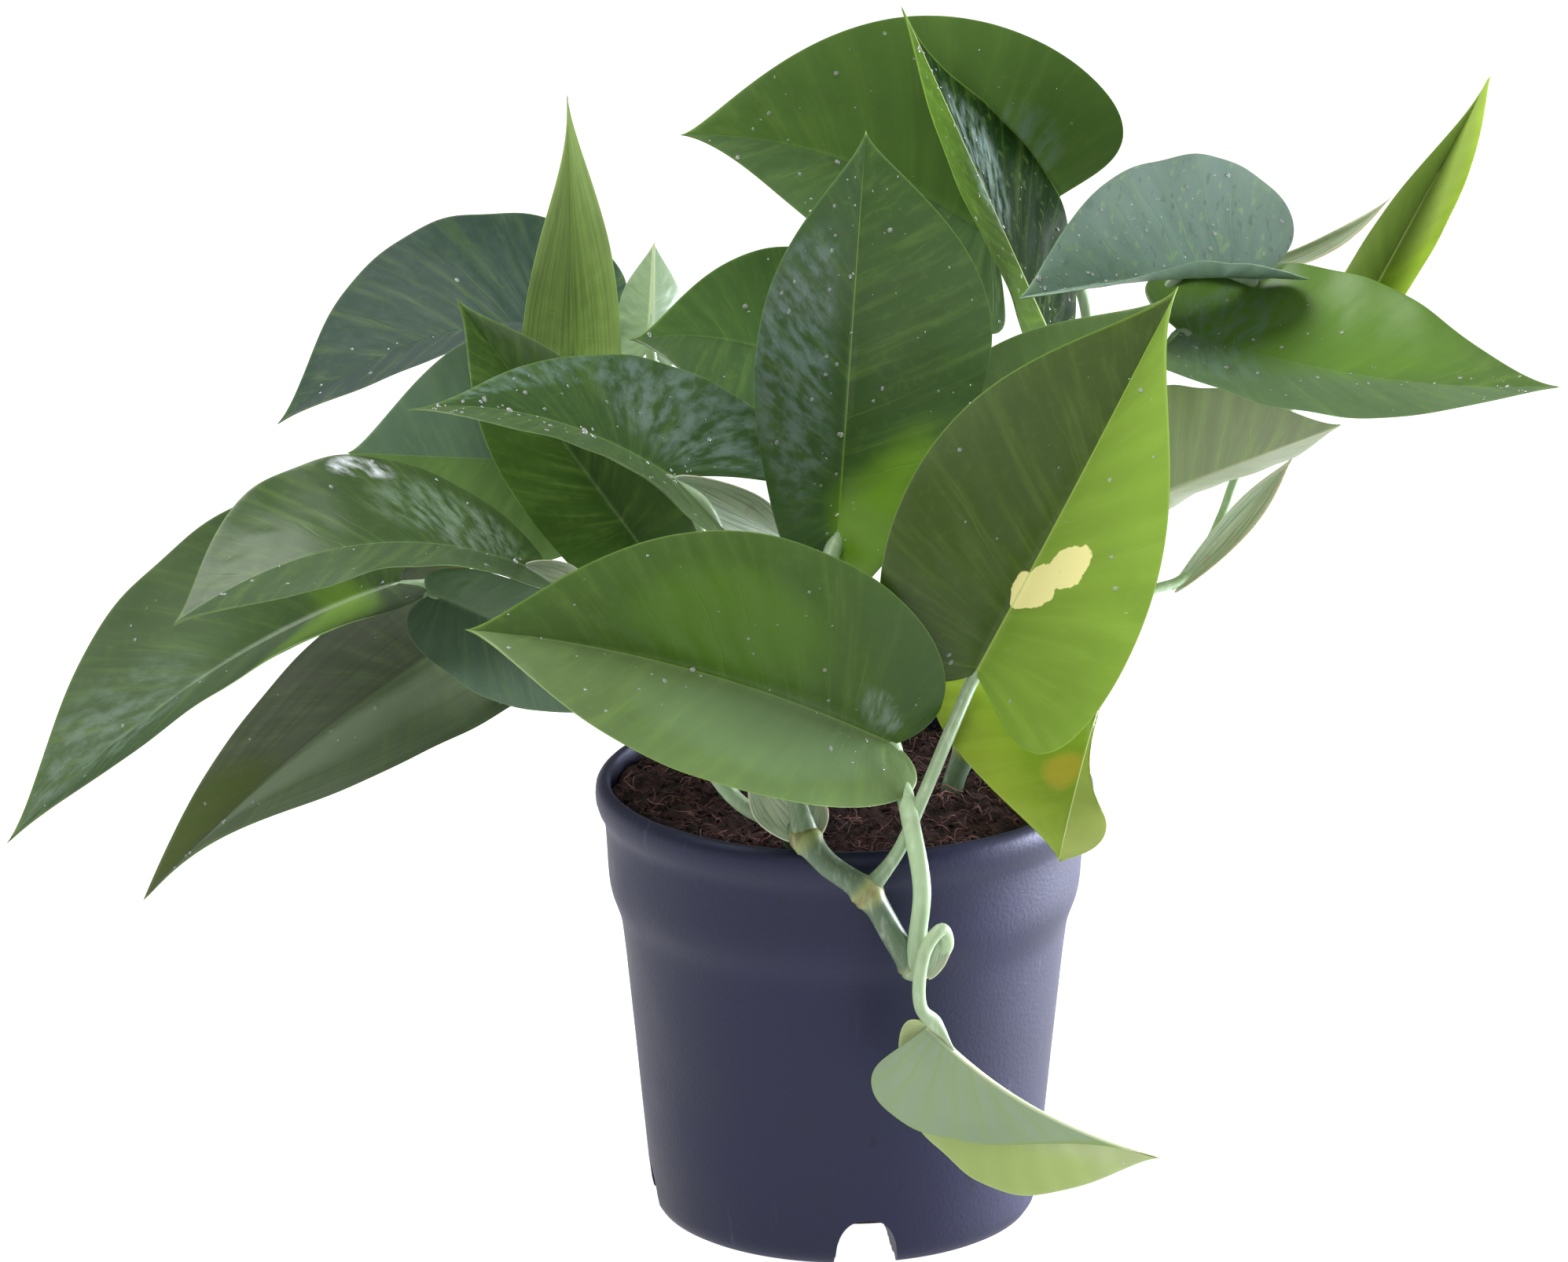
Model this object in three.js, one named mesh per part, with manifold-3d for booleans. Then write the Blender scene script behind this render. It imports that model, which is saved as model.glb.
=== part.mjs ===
// A young pothos in a plastic nursery pot: the pot, its peat, four rooted vines with their petioles,
// and the heart-shaped leaf blades. Millimetres, +Z up. The origin is the middle of the pot's flat
// underside, and the plant's best side looks towards -Y.
import * as THREE from "three";
import { mergeVertices } from "three/addons/utils/BufferGeometryUtils.js";
import Module from "manifold-3d";

const wasm = await Module();
wasm.setup();

// ---- driving dimensions -----------------------------------------------------------------------------

const POT_HEIGHT = 118;
const RIM_RADIUS = 65; // the bulge of the rolled lip
const WALL = 1.3;
const FLOOR = 1.6;
const POT_SEGMENTS = 32;
const NOTCH_WIDTH = 16;
const NOTCH_HEIGHT = 13;
const NOTCH_COUNT = 4;
const NOTCH_TURN = -83.6; // degrees from +X to the first drainage notch
const NOTCH_INNER_RADIUS = 16;
const DRAIN_RADIUS = 3.5;
const DRAIN_AT = 34;

const CLEARANCE = 0.3; // between pieces that touch
const SOIL_TOP = 112.5;
const SOIL_DOME = 3;
const SOIL_ROUGHNESS = 0.9;

const BLADE_THICKNESS = 0.8;
const BLADE_ROWS = 10; // steps from the petiole's joint to the tip
const BLADE_COLUMNS = 3; // steps from the midrib to each margin
const RIB_DEPTH = 0.9; // how far the midrib stands out under the blade, at its base

// ---- solids -----------------------------------------------------------------------------------------

function solidOf(geometry) {
  const bare = new THREE.BufferGeometry().setAttribute("position", geometry.getAttribute("position"));
  bare.setIndex(geometry.getIndex());
  const merged = mergeVertices(bare, 1e-4);
  return new wasm.Manifold(
    new wasm.Mesh({
      numProp: 3,
      vertProperties: new Float32Array(merged.attributes.position.array),
      triVerts: new Uint32Array(merged.index.array),
    }),
  );
}

function geometryOf(solid) {
  const mesh = solid.getMesh();
  const geometry = new THREE.BufferGeometry();
  geometry.setAttribute("position", new THREE.BufferAttribute(mesh.vertProperties, 3));
  geometry.setIndex(new THREE.BufferAttribute(mesh.triVerts, 1));
  geometry.computeVertexNormals();
  return geometry;
}

function union(solids) {
  return solids.reduce((whole, piece) => whole.add(piece));
}

// The body of a solid that holds most of it, without the scraps that a cut leaves.
function largestBody(solid) {
  return solid.decompose().reduce((most, body) => (body.volume() > most.volume() ? body : most));
}

// A profile of [radius, height] pairs turned about +Z. It starts and ends on the axis.
function turned(profile, segments) {
  const points = profile.map(([r, z]) => new THREE.Vector2(r, z));
  return new THREE.LatheGeometry(points, segments).rotateX(Math.PI / 2);
}

// ---- pot and soil -----------------------------------------------------------------------------------

// The outer wall from the foot to the lip: a straight taper, a soft step out to the collar, and a
// rolled lip.
const WALL_PROFILE = [
  [50.8, 6],
  [57.1, 70],
  [58.2, 79],
  [60.9, 88],
  [61.7, 92],
  [62.4, 106],
];

function potOuter() {
  const lip = [
    [RIM_RADIUS - 0.5, POT_HEIGHT - 7.3],
    [RIM_RADIUS, POT_HEIGHT - 3.6],
    [RIM_RADIUS - 1.3, POT_HEIGHT - 0.7],
    [RIM_RADIUS - 2.6, POT_HEIGHT],
  ];
  return turned([[0, 0], [46.6, 0], [49.6, 1.8], ...WALL_PROFILE, ...lip, [0, POT_HEIGHT]], POT_SEGMENTS);
}

// The space inside the wall, brought in by a further gap on the sides and floor.
function potInner(gap, top) {
  const inset = WALL + gap;
  const sides = WALL_PROFILE.map(([r, z]) => [r - inset, z + gap]);
  const mouth = [RIM_RADIUS - 3.9 - gap, top];
  return turned([[0, FLOOR + gap], [46.8 - gap, FLOOR + gap], ...sides, mouth, [0, top]], POT_SEGMENTS);
}

// The arched tunnel of one drainage notch, lying along +X, larger all round by grow.
function notch(grow) {
  const half = NOTCH_WIDTH / 2 + grow;
  const shape = new THREE.Shape();
  shape.moveTo(half, -5);
  shape.lineTo(half, NOTCH_HEIGHT * 0.35);
  shape.bezierCurveTo(
    half * 0.92, (NOTCH_HEIGHT + grow) * 0.86, half * 0.5, NOTCH_HEIGHT + grow, 0, NOTCH_HEIGHT + grow,
  );
  shape.bezierCurveTo(
    -half * 0.5, NOTCH_HEIGHT + grow, -half * 0.92, (NOTCH_HEIGHT + grow) * 0.86, -half, NOTCH_HEIGHT * 0.35,
  );
  shape.lineTo(-half, -5);
  const depth = 60 - NOTCH_INNER_RADIUS + grow;
  const geometry = new THREE.ExtrudeGeometry(shape, { depth, bevelEnabled: false, curveSegments: 4 });
  geometry.rotateX(Math.PI / 2).rotateZ(Math.PI / 2);
  return geometry.translate(NOTCH_INNER_RADIUS - grow, 0, 0);
}

function notches(grow) {
  return union(
    Array.from({ length: NOTCH_COUNT }, (_, i) => {
      const turn = THREE.MathUtils.degToRad(NOTCH_TURN + (360 / NOTCH_COUNT) * i);
      return solidOf(notch(grow).rotateZ(turn));
    }),
  );
}

function drains() {
  return union(
    Array.from({ length: NOTCH_COUNT }, (_, i) => {
      const turn = THREE.MathUtils.degToRad(NOTCH_TURN + (360 / NOTCH_COUNT) * i);
      const hole = new THREE.CylinderGeometry(DRAIN_RADIUS, DRAIN_RADIUS, 8, 10).rotateX(Math.PI / 2);
      return solidOf(hole.translate(DRAIN_AT, 0, NOTCH_HEIGHT).rotateZ(turn));
    }),
  );
}

function pot() {
  const cavity = solidOf(potInner(0, POT_HEIGHT + 1)).subtract(notches(WALL));
  return solidOf(potOuter()).subtract(cavity).subtract(notches(0)).subtract(drains());
}

// Height of the peat's crumbly top above the flat, at x, y: a shallow dome with lumps.
function soilRelief(x, y) {
  const dome = SOIL_DOME * (1 - (x * x + y * y) / 3600);
  const lumps = Math.sin(x * 0.31 + 1.3) * Math.cos(y * 0.37) + 0.6 * Math.sin(x * 0.83 - y * 0.71);
  return dome + SOIL_ROUGHNESS * lumps;
}

function soil(stemHoles) {
  const inset = WALL + CLEARANCE;
  const top = [];
  for (let r = 60.6; r > 1; r -= 8.6) top.push([r, SOIL_TOP]);
  const sides = WALL_PROFILE.filter(([, z]) => z < 100).map(([r, z]) => [r - inset, z + CLEARANCE]);
  const profile = [[0, FLOOR + CLEARANCE], [46.4, FLOOR + CLEARANCE], ...sides, ...top, [0, SOIL_TOP]];
  const geometry = turned(profile, POT_SEGMENTS);
  const at = geometry.getAttribute("position");
  for (let i = 0; i < at.count; i++) {
    if (at.getZ(i) < SOIL_TOP - 0.01) continue;
    at.setZ(i, SOIL_TOP + soilRelief(at.getX(i), at.getY(i)));
  }
  return solidOf(geometry).subtract(notches(WALL + CLEARANCE)).subtract(stemHoles);
}

// ---- leaf blades ------------------------------------------------------------------------------------

// Each blade: base is the petiole's joint, tip the point, bow how far the midrib's middle stands off
// the straight line between them, face the way its upper side looks, half the flat width of each side
// of the midrib, fold the angle in degrees that each side is raised about the midrib, curl how much
// more it has turned at the margin, wave the height of the margin's waves, lobe how far each lobe
// reaches back past the joint, as a share of the length, belly where along the margin the blade is
// widest, taper how fast it narrows from there to the tip, and tint its colour. Pairs are the two sides
// of the midrib.
const BLADES = {
  front: {
    base: [12, -48, 142], tip: [-96, -72, 180], bow: [0, -2, 6], face: [0, -0.86, 0.51],
    half: [44, 45], fold: 30, lobe: [0, 0.02], belly: [0.42, 0.48], tint: 0x5d7a3c,
  },
  cream: {
    base: [33, -42, 159], tip: [84, -30, 258], bow: [0, -3, 0], face: [-0.1, -0.97, 0.2],
    half: [41, 46], fold: 25, lobe: [0.03, 0.02], belly: [0.31, 0.42], taper: [1.8, 1.5], tint: 0x7fa03a,
  },
  yellow: {
    base: [71, -14, 158], tip: [54, -62, 115], bow: [0, -4, 6], face: [-0.5, -0.6, 0.6],
    half: [45, 18], fold: [30, 12], belly: [0.48, 0.9], tint: 0xa3b53c,
  },
  top: {
    base: [40, 60, 246], tip: [-43, 42, 279], bow: [0, 0, 8], face: [0, -0.95, 0.3],
    half: [54, 28], fold: 15, lobe: [0.03, 0.1], belly: [0.29, 0.3], tint: 0x2f5a3a,
  },
  crest: {
    base: [55, 30, 225], tip: [14, 20, 319], bow: [0, 0, 0], face: [0.8, -0.55, 0.2],
    half: [32, 28], fold: [-20, 15], lobe: [0, 0.02], taper: [2.2, 1.5], tint: 0x4d7041,
  },
  gray: {
    base: [107, 35, 243], tip: [44, 5, 245], bow: [0, 0, 2], face: [0, -0.6, 0.8],
    half: [32, 24], fold: [38, 44], belly: [0.43, 0.43], tint: 0x5f7268,
  },
  centre: {
    base: [-2, -12, 187], tip: [5, -8, 293], bow: [0, -4, 0], face: [-0.1, -0.98, 0.1],
    half: [44, 27], fold: 20, belly: [0.57, 0.5], tint: 0x2c4f2b,
  },
  sheen: {
    base: [-44, -25, 206], tip: [-111, -50, 231], bow: [0, 0, 7], face: [-0.1, -0.5, 0.86],
    half: [27, 26], fold: 18, lobe: [0.3, 0.3], belly: [0.25, 0.3], taper: [2.2, 1.5], tint: 0x35553a,
  },
  behind: {
    base: [-69, 26, 195], tip: [-129, 8, 203], bow: [0, 0, 0], face: [-0.1, -0.95, 0.3],
    half: [33, 28], fold: 0, lobe: [0, 0.1], belly: [0.42, 0.4], tint: 0x5b7f5a,
  },
  dark: {
    base: [-52, 0, 179], tip: [-101, 25, 240], bow: [0, 0, 0], face: [0.1, -0.95, 0.1],
    half: [26, 26], fold: 35, tint: 0x1b3623,
  },
  left: {
    base: [-82, -30, 184], tip: [-170, -70, 180], bow: [0, 0, 13], face: [-0.2, -0.35, 0.9],
    half: [27, 28], fold: [20, 5], lobe: [0.02, 0.05], belly: [0.52, 0.5], tint: 0x4d7a31,
  },
  farleft: {
    base: [-115, -16, 175], tip: [-215, -45, 114], bow: [-2, 0, 8], face: [-0.4, -0.5, 0.75],
    half: [34, 32], fold: [30, 22], lobe: [0.04, 0], belly: [0.37, 0.37], tint: 0x4a7a2c,
  },
  lowleft: {
    base: [-99, -3, 157], tip: [-181, -34, 95], bow: [0, 0, 5], face: [-0.3, -0.85, 0.5],
    half: [23, 42], fold: 25, belly: [0.22, 0.27], taper: [1, 2.7], tint: 0x55654f,
  },
  under: {
    base: [-106, -36, 178], tip: [-47, -49, 150], bow: [0, 0, 2], face: [0, -0.75, 0.65],
    half: [24, 12], fold: 10, lobe: [0, 0], belly: [0.4, 0.4], tint: 0x2a4440,
  },
  backleft: {
    base: [-70, 84, 216], tip: [-150, 62, 195], bow: [0, 0, 10], face: [-0.3, -0.4, 0.9],
    half: [34, 34], fold: 15, belly: [0.4, 0.4], tint: 0x5d7a78,
  },
  spear: {
    base: [-71, 47, 216], tip: [-72, 42, 290], bow: [0, 0, 0], face: [0, -1, 0.1],
    half: [19, 20], fold: 35, lobe: [0.05, 0.05], belly: [0.26, 0.2], taper: [1.6, 2.4], tint: 0x9dbd4b,
  },
  pale: {
    base: [-51, 52, 219], tip: [-50, 66, 244], bow: [0, 0, 0], face: [0, 0.9, 0.4],
    half: [12, 12], fold: 30, tint: 0xa9bd76,
  },
  midback: {
    base: [-3, 40, 214], tip: [-56, 20, 230], bow: [0, 0, 5], face: [0, -0.8, 0.6],
    half: [30, 40], fold: 20, belly: [0.33, 0.38], taper: [1.9, 1.5], tint: 0x3b6a2f,
  },
  right: {
    base: [87, 18, 233], tip: [184, 0, 223], bow: [0, 0, -5], face: [0, -0.24, 0.97],
    half: [38, 34], fold: [0, 5], lobe: [0, 0.1], belly: [0.25, 0.42], tint: 0x5e8a2f,
  },
  pink: {
    base: [74, 5, 190], tip: [128, 0, 213], bow: [0, 0, 0], face: [0, 0.8, 0.6],
    half: [27, 27], fold: 20, tint: 0xa79a86,
  },
  upright: {
    base: [134, 59, 222], tip: [169, 63, 290], bow: [0, 0, 0], face: [-0.2, -0.9, 0.35],
    half: [21, 24], fold: [45, 66], belly: [0.48, 0.26], taper: [1.3, 2.2], tint: 0x9bbf3c,
  },
  shade: {
    base: [38, -2, 181], tip: [82, 0, 247], bow: [0, 0, 2], face: [-0.2, -0.95, 0.2],
    half: [10, 35], fold: 12, lobe: [0, 0.1], belly: [0.36, 0.36], tint: 0x3e5f3a,
  },
  rear_right: {
    base: [46, 50, 180], tip: [88, 128, 150], bow: [0, 0, 10], face: [0.2, 0.2, 0.95],
    half: [32, 32], fold: 15, tint: 0x47752f,
  },
  rear_mid: {
    base: [0, 62, 186], tip: [-8, 148, 168], bow: [0, 0, 10], face: [0, 0.1, 1],
    half: [28, 28], fold: 20, tint: 0x47752f,
  },
  hanging: {
    base: [20.7, -78, 76.5], tip: [80, -84, 43], bow: [-3, 0, -4], face: [-0.5, 0, -0.87],
    half: [28, 23], fold: [66, 72], lobe: [0.02, -0.03], belly: [0.5, 0.19], taper: [1.5, 2.7],
    tint: 0x6e8450,
  },
};

const BLADE_DEFAULTS = { curl: 12, wave: 1.5, lobe: [0.12, 0.12], belly: [0.38, 0.38], taper: [1.5, 1.5] };

// Places points of one blade. A point is given by s, from 0 at the joint to 1 at the tip along the
// margin, and by r, from 0 on the midrib to 1 on the margin; side is 1 or -1.
class BladeForm {
  constructor(spec) {
    Object.assign(this, BLADE_DEFAULTS, spec);
    this.from = new THREE.Vector3(...this.base);
    this.span = new THREE.Vector3(...this.tip).sub(this.from);
    this.bowed = new THREE.Vector3(...this.bow);
    this.up = new THREE.Vector3(...this.face);
  }

  // The midrib is a parabola: the straight span plus the bow, times 4 t (1 - t).
  midrib(t) {
    return this.from.clone().addScaledVector(this.span, t).addScaledVector(this.bowed, 4 * t * (1 - t));
  }

  tangent(t) {
    return this.span.clone().addScaledVector(this.bowed, 4 - 8 * t).normalize();
  }

  point(s, r, side) {
    const pick = (pair) => pair[side > 0 ? 0 : 1];
    const [half, lobe, belly, taper] = [this.half, this.lobe, this.belly, this.taper].map(pick);
    const fold = [this.fold].flat().at(side > 0 ? 0 : -1);
    const rise = (taper * belly) / (1 - belly);
    const widest = belly ** rise * (1 - belly) ** taper;
    const back = 17.6 * (lobe + 0.143) * s * (1 - s) ** 6;
    const along = (1 - r) * s * s + r * (s - back);
    const out = (r * half * s ** rise * (1 - s) ** taper) / widest;
    const tangent = this.tangent(along);
    const across = tangent.clone().cross(this.up).normalize();
    const normal = across.clone().cross(tangent);
    const turn = THREE.MathUtils.degToRad(fold + (this.curl * out) / half);
    const ripple = this.wave * Math.sin(7 * along + side) * (out / half) ** 2;
    return this.midrib(along)
      .addScaledVector(across, side * out * Math.cos(turn))
      .addScaledVector(normal, out * Math.sin(turn) + ripple);
  }
}

// The blade as a closed thin solid: one net of points, and the same net on both faces.
function blade(spec, options = {}) {
  const { thickness = BLADE_THICKNESS, rib = RIB_DEPTH } = options;
  const { rows = BLADE_ROWS, columns = BLADE_COLUMNS } = options;
  const form = new BladeForm(spec);
  const net = [];
  const index = [];
  const lines = [];
  const add = (point) => net.push(point) - 1;
  const joint = add(form.point(0, 0, 1));
  const tip = add(form.point(1, 0, 1));
  for (let i = 1; i < rows; i++) {
    const line = [];
    for (let j = -columns; j <= columns; j++) {
      line.push(add(form.point((i / rows) ** 1.25, Math.abs(j) / columns, j > 0 ? -1 : 1)));
    }
    lines.push(line);
  }
  const last = lines.length - 1;
  for (let j = 0; j < 2 * columns; j++) {
    index.push([joint, lines[0][j], lines[0][j + 1]]);
    for (let i = 0; i < last; i++) {
      const [a, b, c, d] = [lines[i][j], lines[i][j + 1], lines[i + 1][j + 1], lines[i + 1][j]];
      if (j < columns) index.push([a, d, b], [b, d, c]);
      else index.push([a, d, c], [a, c, b]);
    }
    index.push([tip, lines[last][j + 1], lines[last][j]]);
  }
  const normals = net.map(() => new THREE.Vector3());
  for (const [a, b, c] of index) {
    const face = net[b].clone().sub(net[a]).cross(net[c].clone().sub(net[a]));
    for (const corner of [a, b, c]) normals[corner].add(face);
  }
  const ribs = new Map(lines.map((line, i) => [line[columns], rib * (1 - (i + 1) / rows)]));
  const upper = net.map((p, i) => p.clone().addScaledVector(normals[i].normalize(), thickness / 2));
  const depth = (i) => thickness / 2 + (ribs.get(i) ?? 0);
  const lower = net.map((p, i) => p.clone().addScaledVector(normals[i], -depth(i)));
  const outline = [joint];
  for (let i = 0; i <= last; i++) outline.push(lines[i][2 * columns]);
  outline.push(tip);
  for (let i = last; i >= 0; i--) outline.push(lines[i][0]);
  const faces = [];
  for (const [a, b, c] of index) faces.push(a, b, c, a + net.length, c + net.length, b + net.length);
  outline.forEach((a, i) => {
    const b = outline[(i + 1) % outline.length];
    faces.push(a, b, b + net.length, a, b + net.length, a + net.length);
  });
  const geometry = new THREE.BufferGeometry();
  const points = [...upper, ...lower].flatMap((p) => [p.x, p.y, p.z]);
  geometry.setAttribute("position", new THREE.Float32BufferAttribute(points, 3));
  geometry.setIndex(faces);
  return geometry;
}

// ---- vines ------------------------------------------------------------------------------------------

// Each vine is rooted in the peat, and its nodes carry the petioles. stem is its route from the root's
// end, and each petiole is named after the blade that it carries: from is its place on the stem,
// counted in stem points, and via the points between there and the blade's joint. Sheaths are the pale
// thin wings along a petiole and the bracts at a node, told as small blades.
const VINES = {
  front: {
    stem: [
      [-13, -47, 88], [-13, -47, 104], [-13, -47, 117], [-13, -54, 122], [-10.4, -66, 122.5],
      [-5, -69.5, 117], [5, -70.5, 109.5], [12, -71, 98], [17.5, -71, 88],
    ],
    radius: 3.3,
    petioles: {
      centre: { from: 4, via: [[-13, -62, 135], [-12, -44, 155], [-7, -22, 175]], radius: 2.6 },
      left: { from: 3, via: [[-27, -53, 128], [-45, -43, 151], [-66, -34, 174]], radius: 2.3 },
      cream: { from: 6, via: [[13, -68, 119.5], [20, -60, 133], [27, -50, 147]], radius: 1.9 },
      front: {
        from: 8, radius: 2.6,
        via: [[18, -73, 99], [19, -73.5, 112], [16.5, -68, 126], [14, -54, 133.5]],
      },
      hanging: {
        from: 8, radius: 1.8,
        via: [
          [22, -74, 92], [25.5, -77, 98], [24, -81, 103.5], [20.5, -83, 100], [18.5, -82, 91], [19, -80, 82],
        ],
      },
    },
    sheaths: [
      { base: [-13, -62, 121.5], tip: [-26, -57, 137], half: [6, 6] },
      { base: [-8, -64.5, 122.5], tip: [-8.5, -60, 134], half: [3, 3] },
      { base: [21, -77, 89.5], tip: [24, -77, 104], half: [3, 3] },
      { base: [-81, -31, 184], tip: [-65, -33, 178.5], half: [4.5, 4.5] },
    ],
  },
  left: {
    stem: [[-30, -10, 88], [-30, -10, 102], [-30, -10, 116], [-32, -9, 126], [-37, -7, 138]],
    radius: 2.9,
    petioles: {
      sheen: { from: 4, via: [[-36, -10, 160], [-32, -17, 184], [-36.5, -22, 198]], radius: 1.9 },
      dark: { from: 4, via: [[-42, -4, 152], [-47, -1, 166]], radius: 1.9 },
      farleft: { from: 3, via: [[-52, -8, 146], [-78, -8, 164], [-100, -12, 173]], radius: 1.9 },
      lowleft: { from: 3, via: [[-48, -8, 134], [-72, -6, 148], [-88, -7, 156]], radius: 1.9 },
      under: { from: 3, via: [[-48, -16, 138], [-72, -24, 156], [-92, -30, 171]], radius: 1.7 },
    },
    sheaths: [
      { base: [-42.5, -24, 204.5], tip: [-13, 2, 180], half: [6, 7] },
    ],
  },
  back_left: {
    stem: [[-22, 24, 88], [-22, 24, 102], [-22, 24, 116], [-25, 27, 130], [-32, 32, 148]],
    radius: 2.9,
    petioles: {
      behind: { from: 3, via: [[-38, 26, 155], [-54, 24, 176], [-64, 25, 190]], radius: 1.8 },
      spear: { from: 4, via: [[-42, 38, 168], [-58, 44, 192], [-68, 47, 208]], radius: 1.8 },
      backleft: { from: 4, via: [[-40, 46, 168], [-52, 66, 194], [-63, 80, 210]], radius: 1.8 },
      pale: { from: 4, via: [[-38, 40, 172], [-46, 47, 196]], radius: 1.4 },
    },
  },
  back: {
    stem: [[12, 28, 88], [12, 28, 102], [12, 28, 116], [12, 31, 132], [16, 35, 150]],
    radius: 2.9,
    petioles: {
      midback: { from: 4, via: [[12, 38, 168], [4, 41, 192], [-1, 41, 208]], radius: 1.8 },
      rear_mid: { from: 3, via: [[12, 42, 150], [10, 52, 170]], radius: 1.8 },
      rear_right: { from: 3, via: [[20, 40, 150], [32, 48, 168]], radius: 1.8 },
      crest: { from: 4, via: [[28, 36, 172], [42, 36, 195], [51, 33, 214]], radius: 1.9 },
      top: {
        from: 4, radius: 1.6,
        via: [[34, 44, 172], [54, 54, 198], [64, 60, 220], [60, 64, 236], [50, 64, 243]],
      },
    },
  },
  right: {
    stem: [[28, -4, 88], [28, -4, 102], [28, -4, 116], [32, -2, 126], [38, 0, 138]],
    radius: 2.9,
    petioles: {
      yellow: { from: 3, via: [[46, -2, 140], [60, -6, 152]], radius: 1.8 },
      shade: { from: 4, via: [[39, 2, 155], [38, 3, 170]], radius: 1.8 },
      pink: { from: 4, via: [[48, 4, 155], [62, 6, 176]], radius: 1.8 },
      gray: { from: 4, via: [[52, 8, 165], [68, 16, 200], [76, 26, 228], [90, 36, 245]], radius: 1.6 },
      right: { from: 4, via: [[54, 6, 160], [70, 12, 190], [80, 16, 218]], radius: 1.8 },
      upright: {
        from: 3, radius: 1.4,
        via: [
          [56, 6, 142], [78, 20, 161], [88, 25, 163.5], [94.5, 30, 170], [99, 34, 178.5], [104, 39, 190],
          [116, 50, 201], [128, 60, 212],
        ],
      },
    },
    sheaths: [
      { base: [87.5, 24.5, 162], tip: [118, 37, 194], half: [4, 4.5] },
    ],
  },
};

// What all sheaths share: they face the plant's best side, with smooth margins and no lobes.
const SHEATH_FORM = {
  bow: [1, 0, 0], face: [0, -0.97, 0.2], fold: 8, wave: 0, lobe: [0, 0], belly: [0.5, 0.5],
};
const STEM_SIDES = 6;
const NODE_SWELL = 1.25; // a node's radius, as a multiple of the stem's
const JOINT_GAP = 1; // how far short of a blade's joint its petiole ends

function tube(points, radius, steps) {
  const route = new THREE.CatmullRomCurve3(points.map((p) => new THREE.Vector3(...p)));
  const section = new THREE.Shape();
  for (let i = 0; i < STEM_SIDES; i++) {
    const angle = (2 * Math.PI * i) / STEM_SIDES;
    section[i ? "lineTo" : "moveTo"](radius * Math.cos(angle), radius * Math.sin(angle));
  }
  return solidOf(new THREE.ExtrudeGeometry(section, { steps, bevelEnabled: false, extrudePath: route }));
}

// The space that a blade takes up together with its clearance all round.
function grownBlade(name) {
  const { base, tip, half } = BLADES[name];
  const back = new THREE.Vector3(...base).sub(new THREE.Vector3(...tip)).setLength(2 * CLEARANCE);
  const grown = { ...BLADES[name], base: base.map((b, i) => b + back.getComponent(i)) };
  grown.half = half.map((h) => h + 2 * CLEARANCE);
  return solidOf(blade(grown, { thickness: BLADE_THICKNESS + 3 * CLEARANCE }));
}

function vine({ stem, radius, petioles, sheaths = [] }) {
  const pieces = [tube(stem, radius, Math.round(stem.length * 1.5))];
  for (const sheath of sheaths) {
    pieces.push(solidOf(blade({ ...SHEATH_FORM, ...sheath }, { rib: 0, rows: 5, columns: 1 })));
  }
  for (const [name, petiole] of Object.entries(petioles)) {
    const start = stem[petiole.from];
    const joint = new THREE.Vector3(...BLADES[name].base);
    const before = new THREE.Vector3(...petiole.via.at(-1));
    const end = joint.clone().add(before.sub(joint).setLength(JOINT_GAP)).toArray();
    const points = [start, ...petiole.via, end];
    pieces.push(tube(points, petiole.radius, Math.ceil(points.length * 1.25)));
  }
  for (const node of new Set(Object.values(petioles).map(({ from }) => from))) {
    pieces.push(solidOf(new THREE.IcosahedronGeometry(radius * NODE_SWELL).translate(...stem[node])));
  }
  return largestBody(union(pieces).subtract(union(Object.keys(petioles).map(grownBlade))));
}

// The plain upright holes that the vines stand in.
function rootHoles() {
  return union(
    Object.values(VINES).map(({ stem, radius }) => {
      const [x, y, z] = stem[0];
      const hole = new THREE.CylinderGeometry(radius + 2 * CLEARANCE, radius + 2 * CLEARANCE, 40, 12);
      return solidOf(hole.rotateX(Math.PI / 2).translate(x, y, z - CLEARANCE + 20));
    }),
  );
}

export { BLADES, BladeForm, VINES };

// ---- the plant --------------------------------------------------------------------------------------

const POT_FINISH = { color: 0x4a4b66, roughness: 0.45, metalness: 0 };
const SOIL_FINISH = { color: 0x3a2620, roughness: 0.95, metalness: 0 };
const STEM_FINISH = { color: 0x8fae6a, roughness: 0.45, metalness: 0 };
const LEAF_FINISH = { roughness: 0.35, metalness: 0 };

const plant = new THREE.Group();

function place(name, geometry, finish) {
  const mesh = new THREE.Mesh(geometry, new THREE.MeshStandardMaterial(finish));
  mesh.name = name;
  plant.add(mesh);
}

place("pot", geometryOf(pot()), POT_FINISH);
place("soil", geometryOf(soil(rootHoles())), SOIL_FINISH);
for (const [name, form] of Object.entries(VINES)) place(`vine_${name}`, geometryOf(vine(form)), STEM_FINISH);
for (const [name, spec] of Object.entries(BLADES)) {
  place(`leaf_${name}`, blade(spec), { ...LEAF_FINISH, color: spec.tint });
}

export default plant;
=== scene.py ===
# %% [markdown]
# # A potted pothos
#
# A young pothos has a few rooted vines. Each vine's nodes carry petioles, and each petiole carries one
# heart-shaped blade. The plant stands in peat in a satin plastic nursery pot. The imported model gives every
# piece its place: this lesson replaces its plain solids with finer surfaces and gives each its finish.
#
# All the shapes are worked out with numpy as whole arrays of points in millimetres. A helper turns an array
# into a Blender mesh in metres.

import math

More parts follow.
